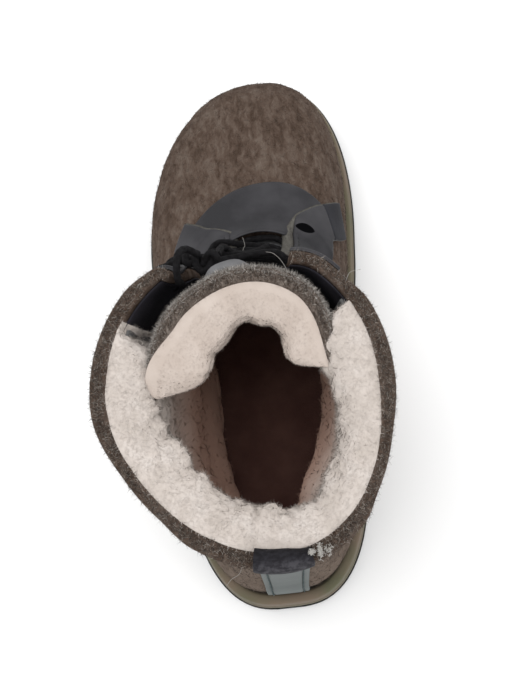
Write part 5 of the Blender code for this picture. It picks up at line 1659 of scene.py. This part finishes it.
def strand(eyelet, lateral, medial, part=0.0):
    """Route out of a lateral eyelet, over the flap's edge and across, under the medial flap."""
    end = skin(lateral, -(throat_half(lateral) + EYELET_PLACE - 1.5), LACE_LIFT)
    edge = flap_edge(lateral + (medial - lateral) * EDGE_SHARE)
    under = slot_run(medial, 1)
    level = (lateral + medial) / 2
    out = unit(skin(level, 0.0, 1.0) - skin(level, 0.0, 0.0))
    return smooth_path([*eyelet_dive(eyelet), end, edge, (edge + under[0]) / 2 + out * part, *under], 9)


def lace_mesh(name, paths, node):
    parts = []
    for path in paths:
        swell = 1 + 0.05 * np.sin(np.arange(len(path)) * 1.7)
        parts.append(tube(path, LACE_RADIUS * swell, sides=12))
    made = add_mesh(name, *joined(parts), BRAID)
    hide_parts(node)
    return made


BAR = smooth_path(slot_run(BAR_LEVEL, -1)[::-1] + slot_run(BAR_LEVEL, 1), 9)
lace_mesh("lace_bar_braid", [BAR], "lace_bar")
FIRST_CROSSING = strand(EYELET_LEVELS[1], EYELET_LEVELS[1] - STRAND_APART, EYELET_LEVELS[1])
lace_mesh("lace_cross_braid_1", [FIRST_CROSSING], "lace_cross_1")
for number, (low, high) in enumerate(zip(EYELET_LEVELS[1:], EYELET_LEVELS[2:]), 2):
    press = STRAND_PRESS if number % 2 else -STRAND_PRESS
    pair = [strand(low, low + STRAND_APART, high - STRAND_APART, press),
            strand(high, high - STRAND_APART, low + STRAND_APART, -press)]
    lace_mesh(f"lace_cross_braid_{number}", pair, f"lace_cross_{number}")


def lateral_strand():
    """Route from the lateral top eyelet over the flap's edge to the knot."""
    half = throat_half(TOP_LEVEL)
    knots = [*eyelet_dive(EYELET_LEVELS[-1]),
             skin(TOP_LEVEL, *flap_curl(TOP_LEVEL, -(half + EYELET_PLACE), LACE_LIFT - TOP_SEAT)),
             skin(TOP_LEVEL + TOP_RISE, *flap_curl(TOP_LEVEL + TOP_RISE, -(half + STRAND_EDGE), EDGE_LIFT)),
             skin(TOP_LEVEL + 2 * TOP_RISE, -(half - 2 * STRAND_EDGE), LACE_LIFT - TOP_DIP),
             KNOT + KNOT_LATERAL, KNOT + 0.4 * KNOT_LATERAL]
    return smooth_path(knots, 9)


def medial_strand():
    """Route from under the medial flap across the throat to the knot."""
    return smooth_path([*slot_run(TOP_LEVEL, 1)[::-1], KNOT + KNOT_MEDIAL, KNOT + 0.4 * KNOT_MEDIAL], 9)


def over_crossings(level, share):
    """Point on top of the crossings, at a share of the way from the lateral flap to the medial one."""
    edge = flap_edge(level)
    out = skin(level, 0.0, 1.0) - skin(level, 0.0, 0.0)
    return edge + (slot_run(level, 1)[0] - edge) * share + out * (2 * LACE_RADIUS + END_CLEAR)


def make_knot():
    turn = np.linspace(0, 2 * math.pi, 90)
    coil = np.stack((np.sin(turn) + 2 * np.sin(2 * turn), np.cos(turn) - 2 * np.cos(2 * turn),
                     -1.6 * np.sin(3 * turn)), axis=1)
    coil = KNOT + coil[:, [0, 2, 1]] / np.array((3.0, 1.6, 3.0)) * (KNOT_SIZE - 0.75 * LACE_RADIUS)
    lace_mesh("lace_knot_braid", [coil], "lace_knot")


def make_lace_top():
    lace_mesh("lace_top_braid_medial", [medial_strand()], "lace_top_medial")
    lace_mesh("lace_top_braid_lateral", [lateral_strand()], "lace_top_lateral")
    make_knot()
    front = [KNOT + KNOT_FRONT] + [over_crossings(*row) for row in END_FRONT]
    for name, knots, end in (("lace_end_tucked", TUCKED_END, "object"), ("lace_end_front", front, "bare")):
        path = smooth_path(knots, 9)
        made = lace_mesh(name + "_braid", [path], name)


make_lace_top()
